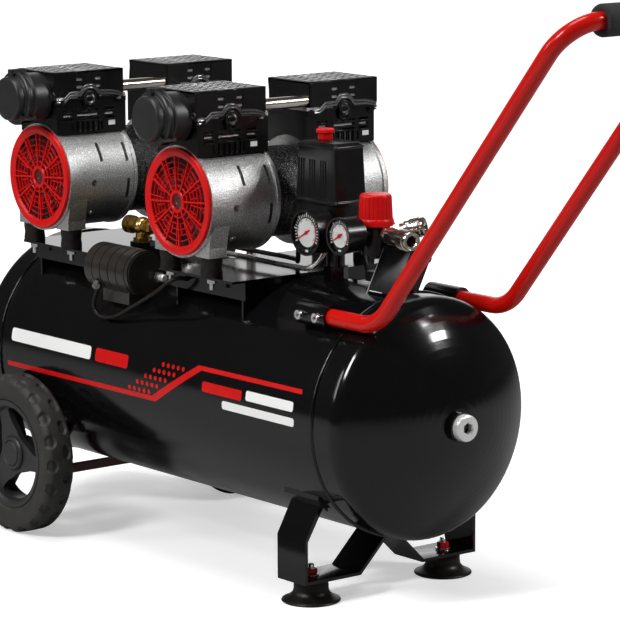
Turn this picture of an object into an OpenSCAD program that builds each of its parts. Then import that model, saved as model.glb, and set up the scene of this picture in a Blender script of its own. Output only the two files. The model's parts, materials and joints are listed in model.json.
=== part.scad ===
// Twin-pump oil-free air compressor on a horizontal 50 litre tank with two wheels and two rubber feet.
// Millimetres. +Z up, +X towards the pull handle. The floor is z = 0, the row origin is the middle of
// the whole object's footprint.

/* [Tank] */
// outer radius of the tank shell
tank_r = 145; // [120:1:170]
// height of the tank axis above the floor
tank_z = 219.6; // [190:1:260]
// half length of the straight shell between the two girth welds
shell_half = 326.2; // [250:1:400]
// sheet thickness of the tank
tank_wall = 2.5; // [2:0.5:4]

/* [Pumps] */
// distance between the two pump shafts
pump_gap = 296.4; // [280:1:330]
// where the middle between the two pumps sits along the tank
pump_mid = -90.5; // [-110:1:-70]
// height of the pump shafts
shaft_z = 456.1; // [450:1:465]
// outer radius of a crankcase
case_r = 66; // [60:0.5:70]
// distance from a pump's middle to its crankcase front face
case_y = 135; // [130:1:140]

/* [Wheels] */
// wheel radius
wheel_r = 101.9; // [95:0.5:105]
// wheel axle position along the tank
axle_x = -248; // [-260:1:-200]
// axle rod radius
axle_r = 8; // [6:0.5:9]
// outer face of a tyre from the middle plane
wheel_y = 191.2; // [185:0.5:200]

/* [Feet] */
// middle of the foot straps along the tank
foot_x = 268.5; // [240:1:290]
// sideways distance of a rubber foot
foot_y = 102.6; // [95:1:110]
// width of a foot strap
strap_w = 53; // [40:1:60]

/* [Handle] */
// sideways distance of the handle tubes
handle_y = 99; // [90:1:110]
// outer radius of the handle tube
handle_r = 10; // [9:0.5:12.5]
// position of the crossbar along the tank
bar_x = 700; // [650:1:760]
// height of the crossbar
bar_z = 709.7; // [650:1:780]

/* [Hidden] */
$fn = 64;
shift_x = -((bar_x + 18) - 432) / 2;
knuckle = 22;
crown = 1.6 * tank_r;
rise = sqrt(pow(crown - knuckle, 2) - pow(tank_r - knuckle, 2));
skirt = 27.6;
head_x = shell_half + skirt;
dome_x = head_x + crown - rise;
xp1 = pump_mid - pump_gap / 2;
xp2 = pump_mid + pump_gap / 2;
sock_z = tank_z + sqrt(pow(tank_r + 14, 2) - pow(handle_y, 2));
drain_x = 112;
slope = atan2(bar_z - sock_z, bar_x - 387.5);
running = 0.05;
valve_x = -120; valve_y = -62;
body_z = 425;

RED = [0.80, 0.06, 0.06]; BLACK = [0.05, 0.05, 0.055]; GREY = [0.2, 0.2, 0.21];
ALU = [0.72, 0.72, 0.73]; STEEL = [0.8, 0.8, 0.82]; BRASS = [0.8, 0.62, 0.28];
COPPER = [0.72, 0.4, 0.22]; WHITE = [0.93, 0.93, 0.93]; RUBBER = [0.07, 0.07, 0.07];

// ---------- helpers ----------
module along_x(r, x0, x1) translate([x0, 0, 0]) rotate([0, 90, 0]) cylinder(r = r, h = x1 - x0);
module along_y(r, y0, y1) translate([0, y0, 0]) rotate([-90, 0, 0]) cylinder(r = r, h = y1 - y0);
module slab(x0, x1, y0, y1, z0, z1) translate([x0, y0, z0]) cube([x1 - x0, y1 - y0, z1 - z0]);
module sides() { children(); mirror([0, 1, 0]) children(); }
module pumps() { translate([xp1, 0, 0]) children(); translate([xp2, 0, 0]) children(); }
module tank_solid(gap = 0.1) translate([0, 0, tank_z]) rotate([0, 90, 0]) cylinder(r = tank_r + gap, h = 700, center = true);
// flat outline in X and Z, extruded along Y from y0 to y1
module side_plate(y0, y1) translate([0, y1, 0]) rotate([90, 0, 0]) linear_extrude(height = y1 - y0) children();
// flat outline in Y and Z, extruded along X from x0 to x1
module cross_plate(x0, x1) translate([x0, 0, 0]) rotate([90, 0, 90]) linear_extrude(height = x1 - x0) children();
module rod(a, b, r) {
  d = b - a; l = norm(d);
  translate(a) rotate([0, acos(d[2] / l), atan2(d[1], d[0])]) cylinder(r = r, h = l);
}
// round wire or pipe through a list of points, with ball corners
module run(p, r) {
  $fn = 10;
  for (i = [0 : len(p) - 2]) rod(p[i], p[i + 1], r);
  for (i = [1 : len(p) - 2]) translate(p[i]) sphere(r = 1.04 * r);
}

// ---------- tank ----------
// torispherical end: straight skirt, small knuckle, large crown, w is the inset of the inner skin
function knuckle_arc(w) = let (a = asin((tank_r - knuckle) / (crown - knuckle)), k = knuckle - w)
  [for (i = [0 : 8]) let (t = i * (90 - a) / 8)
    [tank_r - knuckle + k * cos(t), head_x + k * sin(t)]];
function crown_arc(w) = let (a = asin((tank_r - knuckle) / (crown - knuckle)), k = crown - w)
  [for (i = [1 : 14]) let (t = a * (1 - i / 14)) [k * sin(t), head_x - rise + k * cos(t)]];
function backwards(p) = [for (i = [len(p) - 1 : -1 : 0]) p[i]];
module tank_head() translate([0, 0, tank_z]) rotate([0, 90, 0]) difference() {
  rotate_extrude() polygon(concat([[tank_r - tank_wall, shell_half], [tank_r, shell_half]],
    knuckle_arc(0), crown_arc(0), backwards(crown_arc(tank_wall)), backwards(knuckle_arc(tank_wall))));
  translate([0, 0, head_x]) cylinder(r = 12, h = 90);
}
module bung() difference() {
  translate([0, 0, tank_z]) along_x(18, dome_x - 2, dome_x + 6.5);
  translate([0, 0, tank_z]) along_x(12, dome_x - 20, dome_x + 20);
}
module tank_heads() color(BLACK) for (m = [0, 1]) mirror([m, 0, 0]) union() { tank_head(); bung(); }
// rolled shell with its girth beads, the seam along the back and the welded hexagon bush on top
module tank_shell() color(BLACK) difference() {
  union() {
    translate([0, 0, tank_z]) difference() {
      union() {
        along_x(tank_r, -shell_half, shell_half);
        for (s = [-1, 1]) translate([s * (shell_half - 2.2), 0, 0]) rotate([0, 90, 0])
          rotate_extrude($fn = 128) translate([tank_r, 0]) circle(r = 2.2, $fn = 24);
        rotate([-68, 0, 0]) translate([0, 0, tank_r - 0.4]) along_x(2, -318, 318);
      }
      along_x(tank_r - tank_wall, -400, 400);
    }
    difference() {
      translate([valve_x, valve_y, 330]) cylinder(r = 16, h = 50, $fn = 6);
      translate([0, 0, tank_z]) along_x(tank_r - 1, -400, 400);
    }
  }
  translate([drain_x, 0, 60]) cylinder(r = 5, h = 30);
}
module plug() translate([0, 0, tank_z]) difference() {
  union() { along_x(11.8, dome_x - 6, dome_x + 6.5); along_x(16, dome_x + 6.5, 432); }
  translate([432 - 9, 0, 0]) rotate([0, 90, 0]) cylinder(r = 7, h = 20, $fn = 6);
}
module end_plugs() color(STEEL) { plug(); mirror([1, 0, 0]) plug(); }
module drain_valve() color(BRASS) translate([drain_x, 0, 0]) difference() {
  union() {
    difference() { translate([0, 0, 58]) cylinder(r = 11, h = 20, $fn = 6); tank_solid(); }
    translate([0, 0, 46]) cylinder(r = 6.5, h = 13);
    translate([0, 0, 64]) along_y(4.5, 0, 22);
  }
  translate([0, 0, 40]) cylinder(r = 3 + running, h = 22);
  translate([0, 0, 64]) along_y(2.5, 4, 23);
}
module drain_knob() color(RED) translate([drain_x, 0, 0]) union() {
  translate([0, 0, 33]) cylinder(r = 9, h = 12.5);
  for (a = [0 : 60 : 359]) rotate([0, 0, a]) translate([9, 0, 33]) cylinder(r = 2, h = 12.5, $fn = 24);
  translate([0, 0, 44]) cylinder(r = 3, h = 15);
}

// ---------- feet and wheels ----------
module foot_strap() {
  x0 = foot_x - strap_w / 2; x1 = foot_x + strap_w / 2;
  difference() {
    union() {
      // outer leg, foot plate and the slanted leg up to the middle of the tank, one bent strip
      cross_plate(x0, x1) polygon([[-132, 27], [-48, 27], [-0.4, 74.2], [-0.4, 80], [-49.7, 31], [-128, 31],
        [-128, 78.9], [-102, 122], [-102, 130], [-105, 130], [-132, 81.2]]);
      // end of the strip turned flat against the tank
      intersection() {
        translate([0, 0, tank_z]) along_x(tank_r + 3.5, x0 - 5, x1 + 6);
        slab(x0 - 5, x1 + 6, -117, -103, 112, 134);
      }
    }
    tank_solid();
    translate([foot_x, -foot_y, 20]) cylinder(r = 4.2, h = 20);
  }
}
module foot_strap_near() color(BLACK) foot_strap();
module foot_strap_far() color(BLACK) mirror([0, 1, 0]) foot_strap();
module rubber_feet() color(RUBBER) sides() translate([foot_x, -foot_y, 0]) difference() {
  rotate_extrude() polygon([[0, 0], [34, 0], [35.2, 1.6], [35.2, 3], [24, 8.5], [20.6, 11], [20.6, 27], [0, 27]]);
  translate([0, 0, 9]) cylinder(r = 4.2, h = 20);
}
module foot_bolts() color(STEEL) sides() translate([foot_x, -foot_y, 0]) {
  translate([0, 0, 9]) cylinder(r = 4, h = 22);
  translate([0, 0, 31]) cylinder(r = 9, h = 1.8);
  translate([0, 0, 32.8]) cylinder(r = 7.2, h = 6.4, $fn = 6);
  translate([0, 0, 39.2]) cylinder(r = 4, h = 5);
}
module wheel_brackets() color(BLACK) sides() difference() {
  union() {
    side_plate(-127, -121) polygon([[-302, 172], [-178, 172], [-178, 150], [-234, 92], [-262, 92], [-302, 150]]);
    side_plate(-133, -121) translate([axle_x, wheel_r]) circle(r = 14);
    difference() {
      slab(-302, -178, -138, -108, 132, 172);
      tank_solid();
      translate([-240, 0, tank_z]) rotate([0, 90, 0]) difference() {
        cylinder(r = 300, h = 200, center = true);
        cylinder(r = tank_r + 4, h = 210, center = true);
      }
    }
  }
  tank_solid();
  translate([axle_x, 0, wheel_r]) along_y(axle_r + 0.1, -200, 200);
}
// axle dropped under the tank: a square bar, two legs and a turned stub, nut and collar on each side
module axle() color(RED) {
  slab(axle_x - 6, axle_x + 6, -120.9, 120.9, 64.4, 74.4);
  sides() slab(axle_x - 6, axle_x + 6, -120.9, -110, 64.4, wheel_r + 12);
  sides() translate([axle_x, 0, wheel_r]) {
    along_y(axle_r, -180.6, -112);
    translate([0, -180.6, 0]) rotate([-90, 0, 0]) cylinder(r = 12, h = 7, $fn = 6);
    along_y(13, -151.4, -149);
  }
}
module wheel_rim() translate([axle_x, 0, wheel_r]) difference() {
  union() {
    difference() { along_y(69, -187, -155); along_y(62, -190, -150); }
    translate([0, -170, 0]) rotate([90, 0, 0]) linear_extrude(height = 8) difference() {
      circle(r = 64);
      for (a = [52, 172, 292]) rotate(a) difference() {
        intersection() { circle(r = 58.5); polygon([[0, 0], [80, -82], [80, 82]]); }
        circle(r = 28);
      }
    }
    along_y(22, -184, -152);
    for (a = [-8, 112, 232], w = [-5.5, 5.5]) rotate([0, -a, 0]) slab(18, 64, -171, -158, w - 1, w + 1);
  }
  along_y(axle_r + running, -176, -140);
  along_y(13.8, -181.4, -172.6);
}
module wheel_tyre() translate([axle_x, 0, wheel_r]) rotate([90, 0, 0]) translate([0, 0, 171.2])
  rotate_extrude($fn = 96) polygon([[69, -13.5], [75, -17.6], [86, -19.6], [94, -20], [99.5, -18.5], [101.9, -14],
    [101.9, -4], [100.6, -3], [100.6, 3], [101.9, 4], [101.9, 14], [99.5, 18.5], [94, 20], [86, 19.6], [75, 17.6],
    [69, 13.5]]);
module wheel_rim_near() color(GREY) wheel_rim();
module wheel_tyre_near() color(RUBBER) wheel_tyre();
module wheel_rim_far() color(GREY) mirror([0, 1, 0]) wheel_rim();
module wheel_tyre_far() color(RUBBER) mirror([0, 1, 0]) wheel_tyre();

// ---------- handle ----------
module handle_path(r) {
  b = 60; t = b * tan(slope / 2); c = 46;
  len_s = (bar_x - 387.5) / cos(slope);
  // straight lengths run 2 mm into the slightly swollen bends
  sides() translate([0, -handle_y, sock_z]) {
    along_x(r, 258, 389.5 - t);
    translate([387.5 - t, 0, b]) rotate([90, 0, 0]) rotate([0, 0, -90])
      rotate_extrude(angle = slope) translate([b, 0]) circle(r = r + 0.15);
    translate([387.5, 0, 0]) rotate([0, -slope, 0]) along_x(r, t - 2, len_s - c + 2);
  }
  translate([387.5, 0, sock_z]) rotate([0, -slope, 0]) {
    for (s = [-1, 1]) translate([len_s - c, s * (handle_y - c), 0]) rotate([0, 0, s > 0 ? 0 : -90])
      rotate_extrude(angle = 90) translate([c, 0]) circle(r = r + 0.15);
    translate([len_s, 0, 0]) along_y(r, c - handle_y - 2, handle_y - c + 2);
  }
}
module handle_bolt_holes() for (x = [265, 296]) translate([x, 0, sock_z]) along_y(3, -140, 140);
module handle_tube() color(RED) difference() { handle_path(handle_r); handle_bolt_holes(); }
module handle_grip() color(RUBBER) translate([bar_x, 0, bar_z]) difference() {
  union() { along_y(18, -50.5, 50.5); along_y(17, -52.5, 52.5); }
  along_y(handle_r + 0.1, -60, 60);
}
module handle_sockets() color(BLACK) sides() difference() {
  union() {
    translate([0, -handle_y, sock_z]) along_x(14, 250, 306);
    rotate([0, 0, 0]) translate([0, 0, tank_z]) rotate([atan2(handle_y, sock_z - tank_z), 0, 0])
      slab(252, 304, -8, 8, tank_r - 4, tank_r + 8);
  }
  tank_solid();
  translate([0, -handle_y, sock_z]) along_x(handle_r, 258, 320);
  handle_bolt_holes();
}
module handle_bolts() color(STEEL) sides() for (x = [265, 296]) translate([x, 0, sock_z]) {
  along_y(3, -handle_y - 16, -handle_y + 16.5);
  difference() {
    along_y(5.5, -handle_y - 19.5, -handle_y - 14);
    translate([0, -handle_y - 21, 0]) rotate([-90, 0, 0]) cylinder(r = 3, h = 4.5, $fn = 6);
  }
  difference() {
    translate([0, -handle_y + 14, 0]) rotate([-90, 0, 0]) cylinder(r = 4.5, h = 2.7, $fn = 6);
    along_y(3, -handle_y, -handle_y + 30);
  }
}

// ---------- pumps (built about x = 0, one end at -Y) ----------
module lug_outline() polygon([[-55, 392], [-28, 392], [-22, 401], [22, 401], [28, 392], [55, 392], [55, 404],
  [62, 436], [-62, 436], [-55, 404]]);
module crankcase() difference() {
  union() {
    difference() {
      side_plate(-131.5, -105) lug_outline();
      for (s = [-1, 1]) translate([s * 43.5, -118, 397]) cylinder(r = 9, h = 60);
    }
    translate([0, 0, shaft_z]) {
      along_y(case_r, -case_y, -32);
      along_y(case_r + 2, -case_y, -129);
      along_y(case_r + 1.5, -36.5, -32);
    }
    slab(-34, 34, -118, -52, 490, 526);
  }
  translate([0, 0, shaft_z]) {
    along_y(case_r - 5, -140, -56);
    along_y(53, -46, -30);
    along_y(14, -60, -40);
    for (m = [0, 1]) mirror([m, 0, 0]) {
      for (v = [[-84, -30], [-45, -28], [-45, 14]]) rotate([0, v[1], 0]) slab(55, 75, v[0] - 2.2, v[0] + 2.2, -13, 13);
      rotate([0, 4, 0]) translate([50, -98, 0]) along_x(4, 0, 30);
      rotate([0, 42, 0]) translate([50, -92, 0]) along_x(3.5, 0, 30);
    }
  }
  translate([0, -85, 456]) cylinder(r = 31.5, h = 90);
}
module crankcases() color(ALU) pumps() sides() crankcase();
module grille2d() {
  difference() { circle(r = 65.4); circle(r = 53.5); }
  for (r = [23, 31, 39, 47]) difference() { circle(r = r + 0.8); circle(r = r - 0.8); }
  circle(r = 15);
  for (a = [0 : 30 : 359]) rotate(a) translate([14, -1]) square([40.5, 2]);
}
module grilles() color(RED) pumps() sides() translate([0, -case_y, shaft_z]) rotate([90, 0, 0]) difference() {
  union() {
    linear_extrude(height = 3) grille2d();
    difference() { cylinder(r = 65.4, h = 4.5); translate([0, 0, -1]) cylinder(r = 57, h = 9); }
    cylinder(r = 13, h = 4.5);
  }
  translate([0, 0, -1]) cylinder(r = 7, h = 3);
}
module bearings() color(STEEL) pumps() sides() translate([0, 0, shaft_z]) difference() {
  along_y(14, -56, -46);
  along_y(8 + running, -60, -40);
}
module stators() color(BLACK) pumps() translate([0, 0, shaft_z]) difference() {
  union() { along_y(55, -32, 32); for (y = [-24 : 8 : 24]) along_y(55.6, y - 2, y + 2); }
  along_y(31, -40, 40);
}
module windings() color(COPPER) pumps() sides() translate([0, 0, shaft_z]) difference() {
  union() { along_y(50, -40, -32); along_y(48, -43, -40); }
  along_y(35, -50, -30);
}
module rotor() {
  translate([0, 0, shaft_z]) {
    along_y(8, -133, 133);
    along_y(30, -30, 30);
    sides() translate([0, 0, 8]) along_y(11, -90, -80);
    sides() translate([0, 0, -6]) along_y(16, -77, -70);
  }
}
module rotor_1() color(STEEL) translate([xp1, 0, 0]) rotor();
module rotor_2() color(STEEL) translate([xp2, 0, 0]) rotor();
module fan() translate([0, 0, shaft_z]) difference() {
  union() {
    along_y(15, -131, -118);
    for (a = [0 : 51.43 : 355]) rotate([0, a, 0]) translate([34, -124.5, 0]) rotate([35, 0, 0])
      cube([42, 3, 18], center = true);
  }
  along_y(8, -140, -110);
}
module fans_1() color(GREY) translate([xp1, 0, 0]) sides() fan();
module fans_2() color(GREY) translate([xp2, 0, 0]) sides() fan();
module cylinders() color(ALU) pumps() sides() translate([0, -85, 0]) difference() {
  union() {
    translate([0, 0, 502]) cylinder(r = 31, h = 54);
    slab(-33, 33, -32, 32, 526, 529);
    for (z = [533 : 5 : 553]) translate([0, 0, z]) cylinder(r = 36.5, h = 2);
  }
  translate([0, 0, 490]) cylinder(r = 28, h = 80);
}
module pistons() color(ALU) pumps() sides() translate([0, -85, 0]) {
  translate([0, 0, 530]) cylinder(r = 27, h = 10);
  translate([0, 0, 533]) cylinder(r = 28, h = 2);
  slab(-7, 7, -4, 4, shaft_z + 22, 531);
  translate([0, 0, shaft_z]) difference() { along_y(25, -5, 5); along_y(19.6, -6, 6); }
}
// black ducted shroud, valve plate and vented top cover in one bolted head
module wavy() {
  polygon([[-50, 555], [-50, 557.5], [-18, 557.5], [-12, 565], [8, 565], [14, 557.5], [50, 557.5], [50, 555],
    [12, 555], [6, 562], [-10, 562], [-16, 555]]);
}
module shroud() difference() {
  union() {
    difference() {
      slab(-40, 40, -136, -30, 512, 556);
      slab(-37.2, 37.2, -133, -33, 500, 560);
    }
    for (s = [-1, 1]) {
      translate([s > 0 ? 39.5 : -43, -85, 0]) cross_plate(0, 3.5) wavy();
      translate([0, -87, 549.5]) along_x(9, s > 0 ? 39.5 : -43.5, s > 0 ? 43.5 : -39.5);
      for (y = [-130, -36]) translate([s * 39, y, 550]) cylinder(r = 6, h = 6);
      for (i = [0 : 5]) slab(s > 0 ? 39.5 : -41.5, s > 0 ? 41.5 : -39.5, -112 + 9 * i, -110 + 9 * i, 516, 526);
    }
  }
  translate([0, 0, shaft_z]) along_y(case_r + 2, -160, -20);
  slab(-41.2, 41.2, -139.9, -34, 560, 600);
  slab(-40, 40, -136, -30, 556, 561);
  for (s = [-1, 1]) {
    translate([0, -87, 549.5]) along_x(6, s > 0 ? 41 : -50, s > 0 ? 50 : -41);
    for (c = [[-126, -112], [-105, -72], [-62, -48]], z = [529, 534.5, 540])
      slab(s > 0 ? 36 : -42, s > 0 ? 42 : -36, c[0], c[1], z, z + 2.4);
  }
}
module cover() difference() {
  slab(-41.2, 41.2, -139.9, -34, 560, 591.9);
  slab(-38.7, 38.7, -137.4, -36.5, 550, 589);
  for (x = [-30 : 12 : 30], y = [-129 : 12 : -45]) slab(x - 4.5, x + 4.5, y - 4.5, y + 4.5, 580, 600);
  for (s = [-1, 1], y = [-108, -70], z = [570, 580])
    slab(s > 0 ? 36 : -45, s > 0 ? 45 : -36, y - 5, y + 5, z, z + 3.4);
  translate([33, 0, 568]) along_y(7.5, -60, 0);
  translate([0, 0, 559.4]) translate([5, 0, 0]) along_y(11, -150, -130);
}
module head_block() {
  slab(-40, 40, -136, -30, 556, 560);
  for (x = [-30 : 6 : 30]) slab(x - 1, x + 1, -120, -50, 564, 586);
  slab(-32, 32, -122, -48, 560, 564);
}
module head_blocks() color(ALU) pumps() sides() head_block();
module shrouds() color(BLACK) pumps() sides() shroud();
module top_covers() color(BLACK) pumps() sides() cover();
module air_filters() color(BLACK) pumps() translate([5, 0, 559.4]) difference() {
  union() {
    along_y(27, -188, -172); along_y(33, -172, -163); along_y(30.5, -163, -139.9);
    for (a = [0, 180]) rotate([0, a, 0]) slab(26, 35, -176, -159, -5, 5);
  }
  along_y(24, -185, -142);
  along_y(11, -150, -130);
}
module link_tubes() color(STEEL) pumps() translate([33, 0, 568]) difference() {
  along_y(7.5, -42, 42);
  along_y(6, -50, 50);
}
module isolators() color(RUBBER) pumps() for (x = [-41.5, 41.5], y = [-118, 118]) translate([x, y, 368])
  rotate_extrude() polygon([[0, 0], [13.5, 0], [13.5, 5], [12.6, 12], [13.5, 19], [13.5, 24], [0, 24]]);
module mount_screws() color(STEEL) pumps() for (x = [-41.5, 41.5], y = [-118, 118]) translate([x, y, 0]) {
  difference() {
    translate([0, 0, 397]) cylinder(r = 4.2, h = 4);
    translate([0, 0, 399]) cylinder(r = 2.4, h = 5, $fn = 6);
  }
  translate([0, 0, 360]) cylinder(r = 5.6, h = 5, $fn = 6);
  translate([0, 0, 352]) cylinder(r = 3, h = 8);
}
module support_plates() color(BLACK) pumps() difference() {
  union() {
    slab(-57, 91, -125, 125, 365, 368);
    for (s = [-1, 1]) slab(-57, 91, s * 104 - 1.5, s * 104 + 1.5, 343, 365);
    for (x = [-50, 82]) slab(x, x + 3, -104, 104, 300, 365);
  }
  tank_solid();
  for (x = [-41.5, 41.5], y = [-118, 118]) translate([x, y, 360]) cylinder(r = 3.4, h = 10);
}

// ---------- controls and air line ----------
module switch_base() color(BLACK) union() {
  slab(142, 220, -23, 23, 443, 458);
  translate([181, 0, 437]) cylinder(r = 9, h = 6);
  translate([0, 12, 450]) along_x(6, 132, 142);
  translate([0, -12, 450]) along_x(6, 132, 142);
}
module switch_shape(e) polygon([[142 - e, 458], [220 + e, 458], [216.5 + e, 528 + e], [145.5 - e, 528 + e]]);
module switch_cover() color(BLACK) difference() {
  union() {
    side_plate(-23, 23) switch_shape(0);
    slab(141, 221, -24, 24, 458, 461);
    for (i = [0 : 17]) slab(148 + 3.8 * i, 149.6 + 3.8 * i, -23.8, 23.8, 464, 522);
    slab(150, 213, -19, 19, 527, 530);
  }
  side_plate(-20.5, 20.5) polygon([[145, 450], [217, 450], [214, 524], [148, 524]]);
  translate([171, 0, 520]) cylinder(r = 8 + running, h = 20);
}
module switch_knob() color(RED) union() {
  translate([171, 0, 512]) cylinder(r = 8, h = 21);
  translate([171, 0, 533]) cylinder(r = 9, h = 4);
  translate([171, 0, 537]) cylinder(r = 11.3, h = 6);
  translate([171, 0, 543]) cylinder(r = 10, h = 1.5);
}
module manifold() color(BLACK) difference() {
  union() {
    translate([190, 0, 350]) cylinder(r = 11, h = 66);
    translate([190, 0, 350]) cylinder(r = 15, h = 30, $fn = 6);
    translate([0, 0, body_z]) along_x(12.5, 166, 265);
    translate([0, 0, body_z]) rotate([0, 90, 0]) translate([0, 0, 166]) cylinder(r = 15, h = 12, $fn = 6);
  }
  tank_solid();
  translate([265, 0, 400]) cylinder(r = 17, h = 60);
  translate([181, 0, 437]) cylinder(r = 9, h = 6);
  slab(140, 222, -23, 23, 443, 470);
}
module gauge(x, z, r) translate([x, 0, z]) {
  difference() {
    union() { along_y(r, -60, -56); along_y(r - 1, -56, -33); along_y(6, -33, 0); }
    along_y(r - 2.5, -61, -56);
    along_y(1 + running, -61, -50);
  }
}
module gauge_cases() color(BLACK) difference() {
  union() { gauge(206, 427.5, 27.5); gauge(268, 430.5, 22.3); }
  translate([0, 0, body_z]) along_x(12.5, 166, 265);
  translate([265, 0, 400]) cylinder(r = 17, h = 60);
}
module dial(x, z, r) translate([x, 0, z]) difference() {
  along_y(r - 2.5, -57, -56);
  along_y(1 + running, -61, -44);
}
module gauge_dials() color(WHITE) { dial(206, 427.5, 27.5); dial(268, 430.5, 22.3); }
module gauge_lenses() color([0.9, 0.95, 1, 0.3]) {
  translate([206, 0, 427.5]) along_y(25, -59.8, -59);
  translate([268, 0, 430.5]) along_y(19.8, -59.8, -59);
}
module needle(x, z, r) translate([x, 0, z]) {
  along_y(1, -58.3, -51);
  along_y(2.4, -58.7, -57.4);
  rotate([0, -30, 0]) side_plate(-58.3, -57.6)
    polygon([[-r * 0.8, -0.3], [-r * 0.8, 0.3], [r * 0.05, 1.1], [r * 0.28, 1.1], [r * 0.28, -1.1], [r * 0.05, -1.1]]);
}
module needle_tank() color(RED) needle(206, 427.5, 25);
module needle_outlet() color(RED) needle(268, 430.5, 19.8);
module regulator_body() color(BLACK) union() {
  translate([265, 0, 403]) cylinder(r = 17, h = 33.5);
  translate([265, 0, 399]) cylinder(r = 10, h = 5);
  translate([265, 0, 436]) cylinder(r = 6, h = 34);
}
module regulator_knob() color(RED) difference() {
  translate([265, 0, 437.5]) rotate_extrude() polygon([[0, 0], [21.7, 0], [21.7, 7.5], [20.2, 10.5], [19.2, 36],
    [17.6, 38], [0, 38]]);
  translate([265, 0, 430]) cylinder(r = 6 + running, h = 41);
}
// quick couplers: heading, rise and overall length of each
function heading(k) = k == 0 ? -12 : 34;
function rise_of(k) = k == 0 ? 0 : 13;
function length_of(k) = k == 0 ? 90 : 62;
module at_coupler(k) translate([265, 0, k == 0 ? 430 : 425]) rotate([0, 0, heading(k)]) rotate([0, -rise_of(k), 0])
  children();
module coupler_body(k) { l = length_of(k); n = k == 0 ? 28 : 25; at_coupler(k) difference() {
  union() {
    along_x(k == 0 ? 6 : 5, 8, n + 4);
    rotate([0, 90, 0]) translate([0, 0, n]) cylinder(r = 9.6, h = 8, $fn = 6);
    along_x(9, n + 8, l);
    along_x(11.3, l - 4, l);
  }
  along_x(5.6, l - 24, l + 1);
} }
module coupler_bodies() color(STEEL) difference() {
  union() { coupler_body(0); coupler_body(1); }
  translate([265, 0, 400]) cylinder(r = 17, h = 60);
}
module coupler_sleeve(k) { l = length_of(k); n = k == 0 ? 28 : 25; at_coupler(k) difference() {
  union() {
    along_x(11.2, n + 12.5, l - 4.3);
    for (x = k == 0 ? [45.5, 77, 81] : [49, 53]) along_x(12, x, x + 2.4);
  }
  along_x(9 + running, 30, l);
} }
module coupler_sleeve_a() color(STEEL) coupler_sleeve(0);
module coupler_sleeve_b() color(STEEL) coupler_sleeve(1);
module safety_valve() color(BRASS) translate([228, 0, body_z]) difference() {
  union() {
    rotate([-90, 0, 0]) cylinder(r = 7, h = 20, $fn = 6);
    along_y(6, 20, 36);
  }
  along_x(12.5, -60, 60);
  along_y(2 + running, 26, 40);
}
module safety_pull() color(STEEL) translate([228, 0, body_z]) union() {
  along_y(2, 27, 44);
  translate([0, 52, 0]) rotate([0, 90, 0]) rotate_extrude() translate([9, 0]) circle(r = 1.2, $fn = 24);
}
module check_valve() color(BRASS) translate([valve_x, valve_y, 0]) union() {
  translate([0, 0, 380]) cylinder(r = 12, h = 5, $fn = 6);
  translate([0, 0, 385]) cylinder(r = 9, h = 8);
  translate([0, 0, 399]) {
    along_x(10, -22, 14);
    along_x(11.5, -30, -20);
    sphere(r = 12);
    rotate([0, 90, 0]) translate([0, 0, 14]) cylinder(r = 8, h = 8, $fn = 6);
  }
}
module air_tubes() color(ALU) {
  difference() {
    run([[-97.2, -62, 399], [-86, -58, 399], [-74, -48, 394], [-60, -36, 384], [-48, -30, 379], [150, -30, 377],
      [176, -28, 379], [186, -24, 386], [190, -18, 398], [190, -8, 410]], 3.2);
    translate([190, 0, 350]) cylinder(r = 11, h = 66);
    translate([0, 0, body_z]) along_x(12.5, 166, 265);
  }
  difference() {
    union() {
      translate([0, 87, 549.5]) along_x(6, xp1 + 43.5, xp2 - 43.5);
      translate([pump_mid, 87, 320]) cylinder(r = 6, h = 229.5);
      translate([pump_mid, 87, 320]) cylinder(r = 12, h = 32, $fn = 6);
      translate([pump_mid, 87, 549.5]) sphere(r = 9);
    }
    tank_solid();
  }
}
module wiring() color(RUBBER) {
  run([[-113.1, -138, 332], [-113.1, -138, 325.4], [-117.5, -137.6, 319.5], [-122, -136.8, 311.5], [-123, -135.8, 303],
    [-119, -135, 297], [-111, -134.5, 294.2],
    [-100, -134, 294], [-80.8, -134, 297.5], [-48.4, -134, 311.9], [-16.5, -134, 327.4], [12.4, -132, 343.3],
    [24, -127, 354], [30, -117, 357], [32, -107, 355.4]], 2.6);
  difference() {
    union() {
      run([[130, 12, 450], [124, 12, 449], [116, 12, 446], [110, 11, 444]], 3);
      run([[128.6, -12, 450], [125.5, -11, 444], [125, -6, 420], [122, -4, 384], [112, 4, 376], [90, 20, 374],
        [-190, 20, 374], [-200, 18, 380], [-206, 14, 396], [-210, 8, 408]], 3);
      run([[247.6, 4, 376], [232, 16, 376], [214, 22, 400], [210, 22, 430], [209, 21.5, 442]], 3);
    }
    pumps() translate([0, 0, shaft_z]) along_y(55.6, -32, 32);
    tank_solid();
  }
}
module capacitor_case() color(BLACK) difference() {
  union() {
    translate([0, -112, 353.3]) {
      along_x(28.2, -138, -46);
      for (i = [0 : 4]) along_x(29, -137 + 17.2 * i, -137 + 17.2 * i + 15.4);
      along_x(26.5, -46, -44);
    }
    slab(-120, -64, -124, -96, 312, 345);
  }
  tank_solid();
  translate([0, -112, 353.3]) along_x(24.5, -134, -50);
}
module cable_glands() color(STEEL) {
  // one under the housing, one on its right end, one foot plate beside the terminal box
  difference() {
    translate([-113.1, -138, 328]) union() {
      cylinder(r = 4.6, h = 12);
      translate([0, 0, 2]) cylinder(r = 6.4, h = 5, $fn = 6);
    }
    translate([0, -112, 353.3]) along_x(29.2, -138, -45.9);
    translate([-113.1, -138, 320]) cylinder(r = 3, h = 14);
  }
  translate([0, -94, 347]) {
    along_x(4.6, -44, -30);
    rotate([0, 90, 0]) translate([0, 0, -44]) cylinder(r = 7, h = 6, $fn = 6);
  }
  difference() {
    union() { slab(228, 261, 2, 20, 352, 367); translate([239, 10, 360]) cylinder(r = 4, h = 9); }
    tank_solid(0.3);
  }
}
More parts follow.
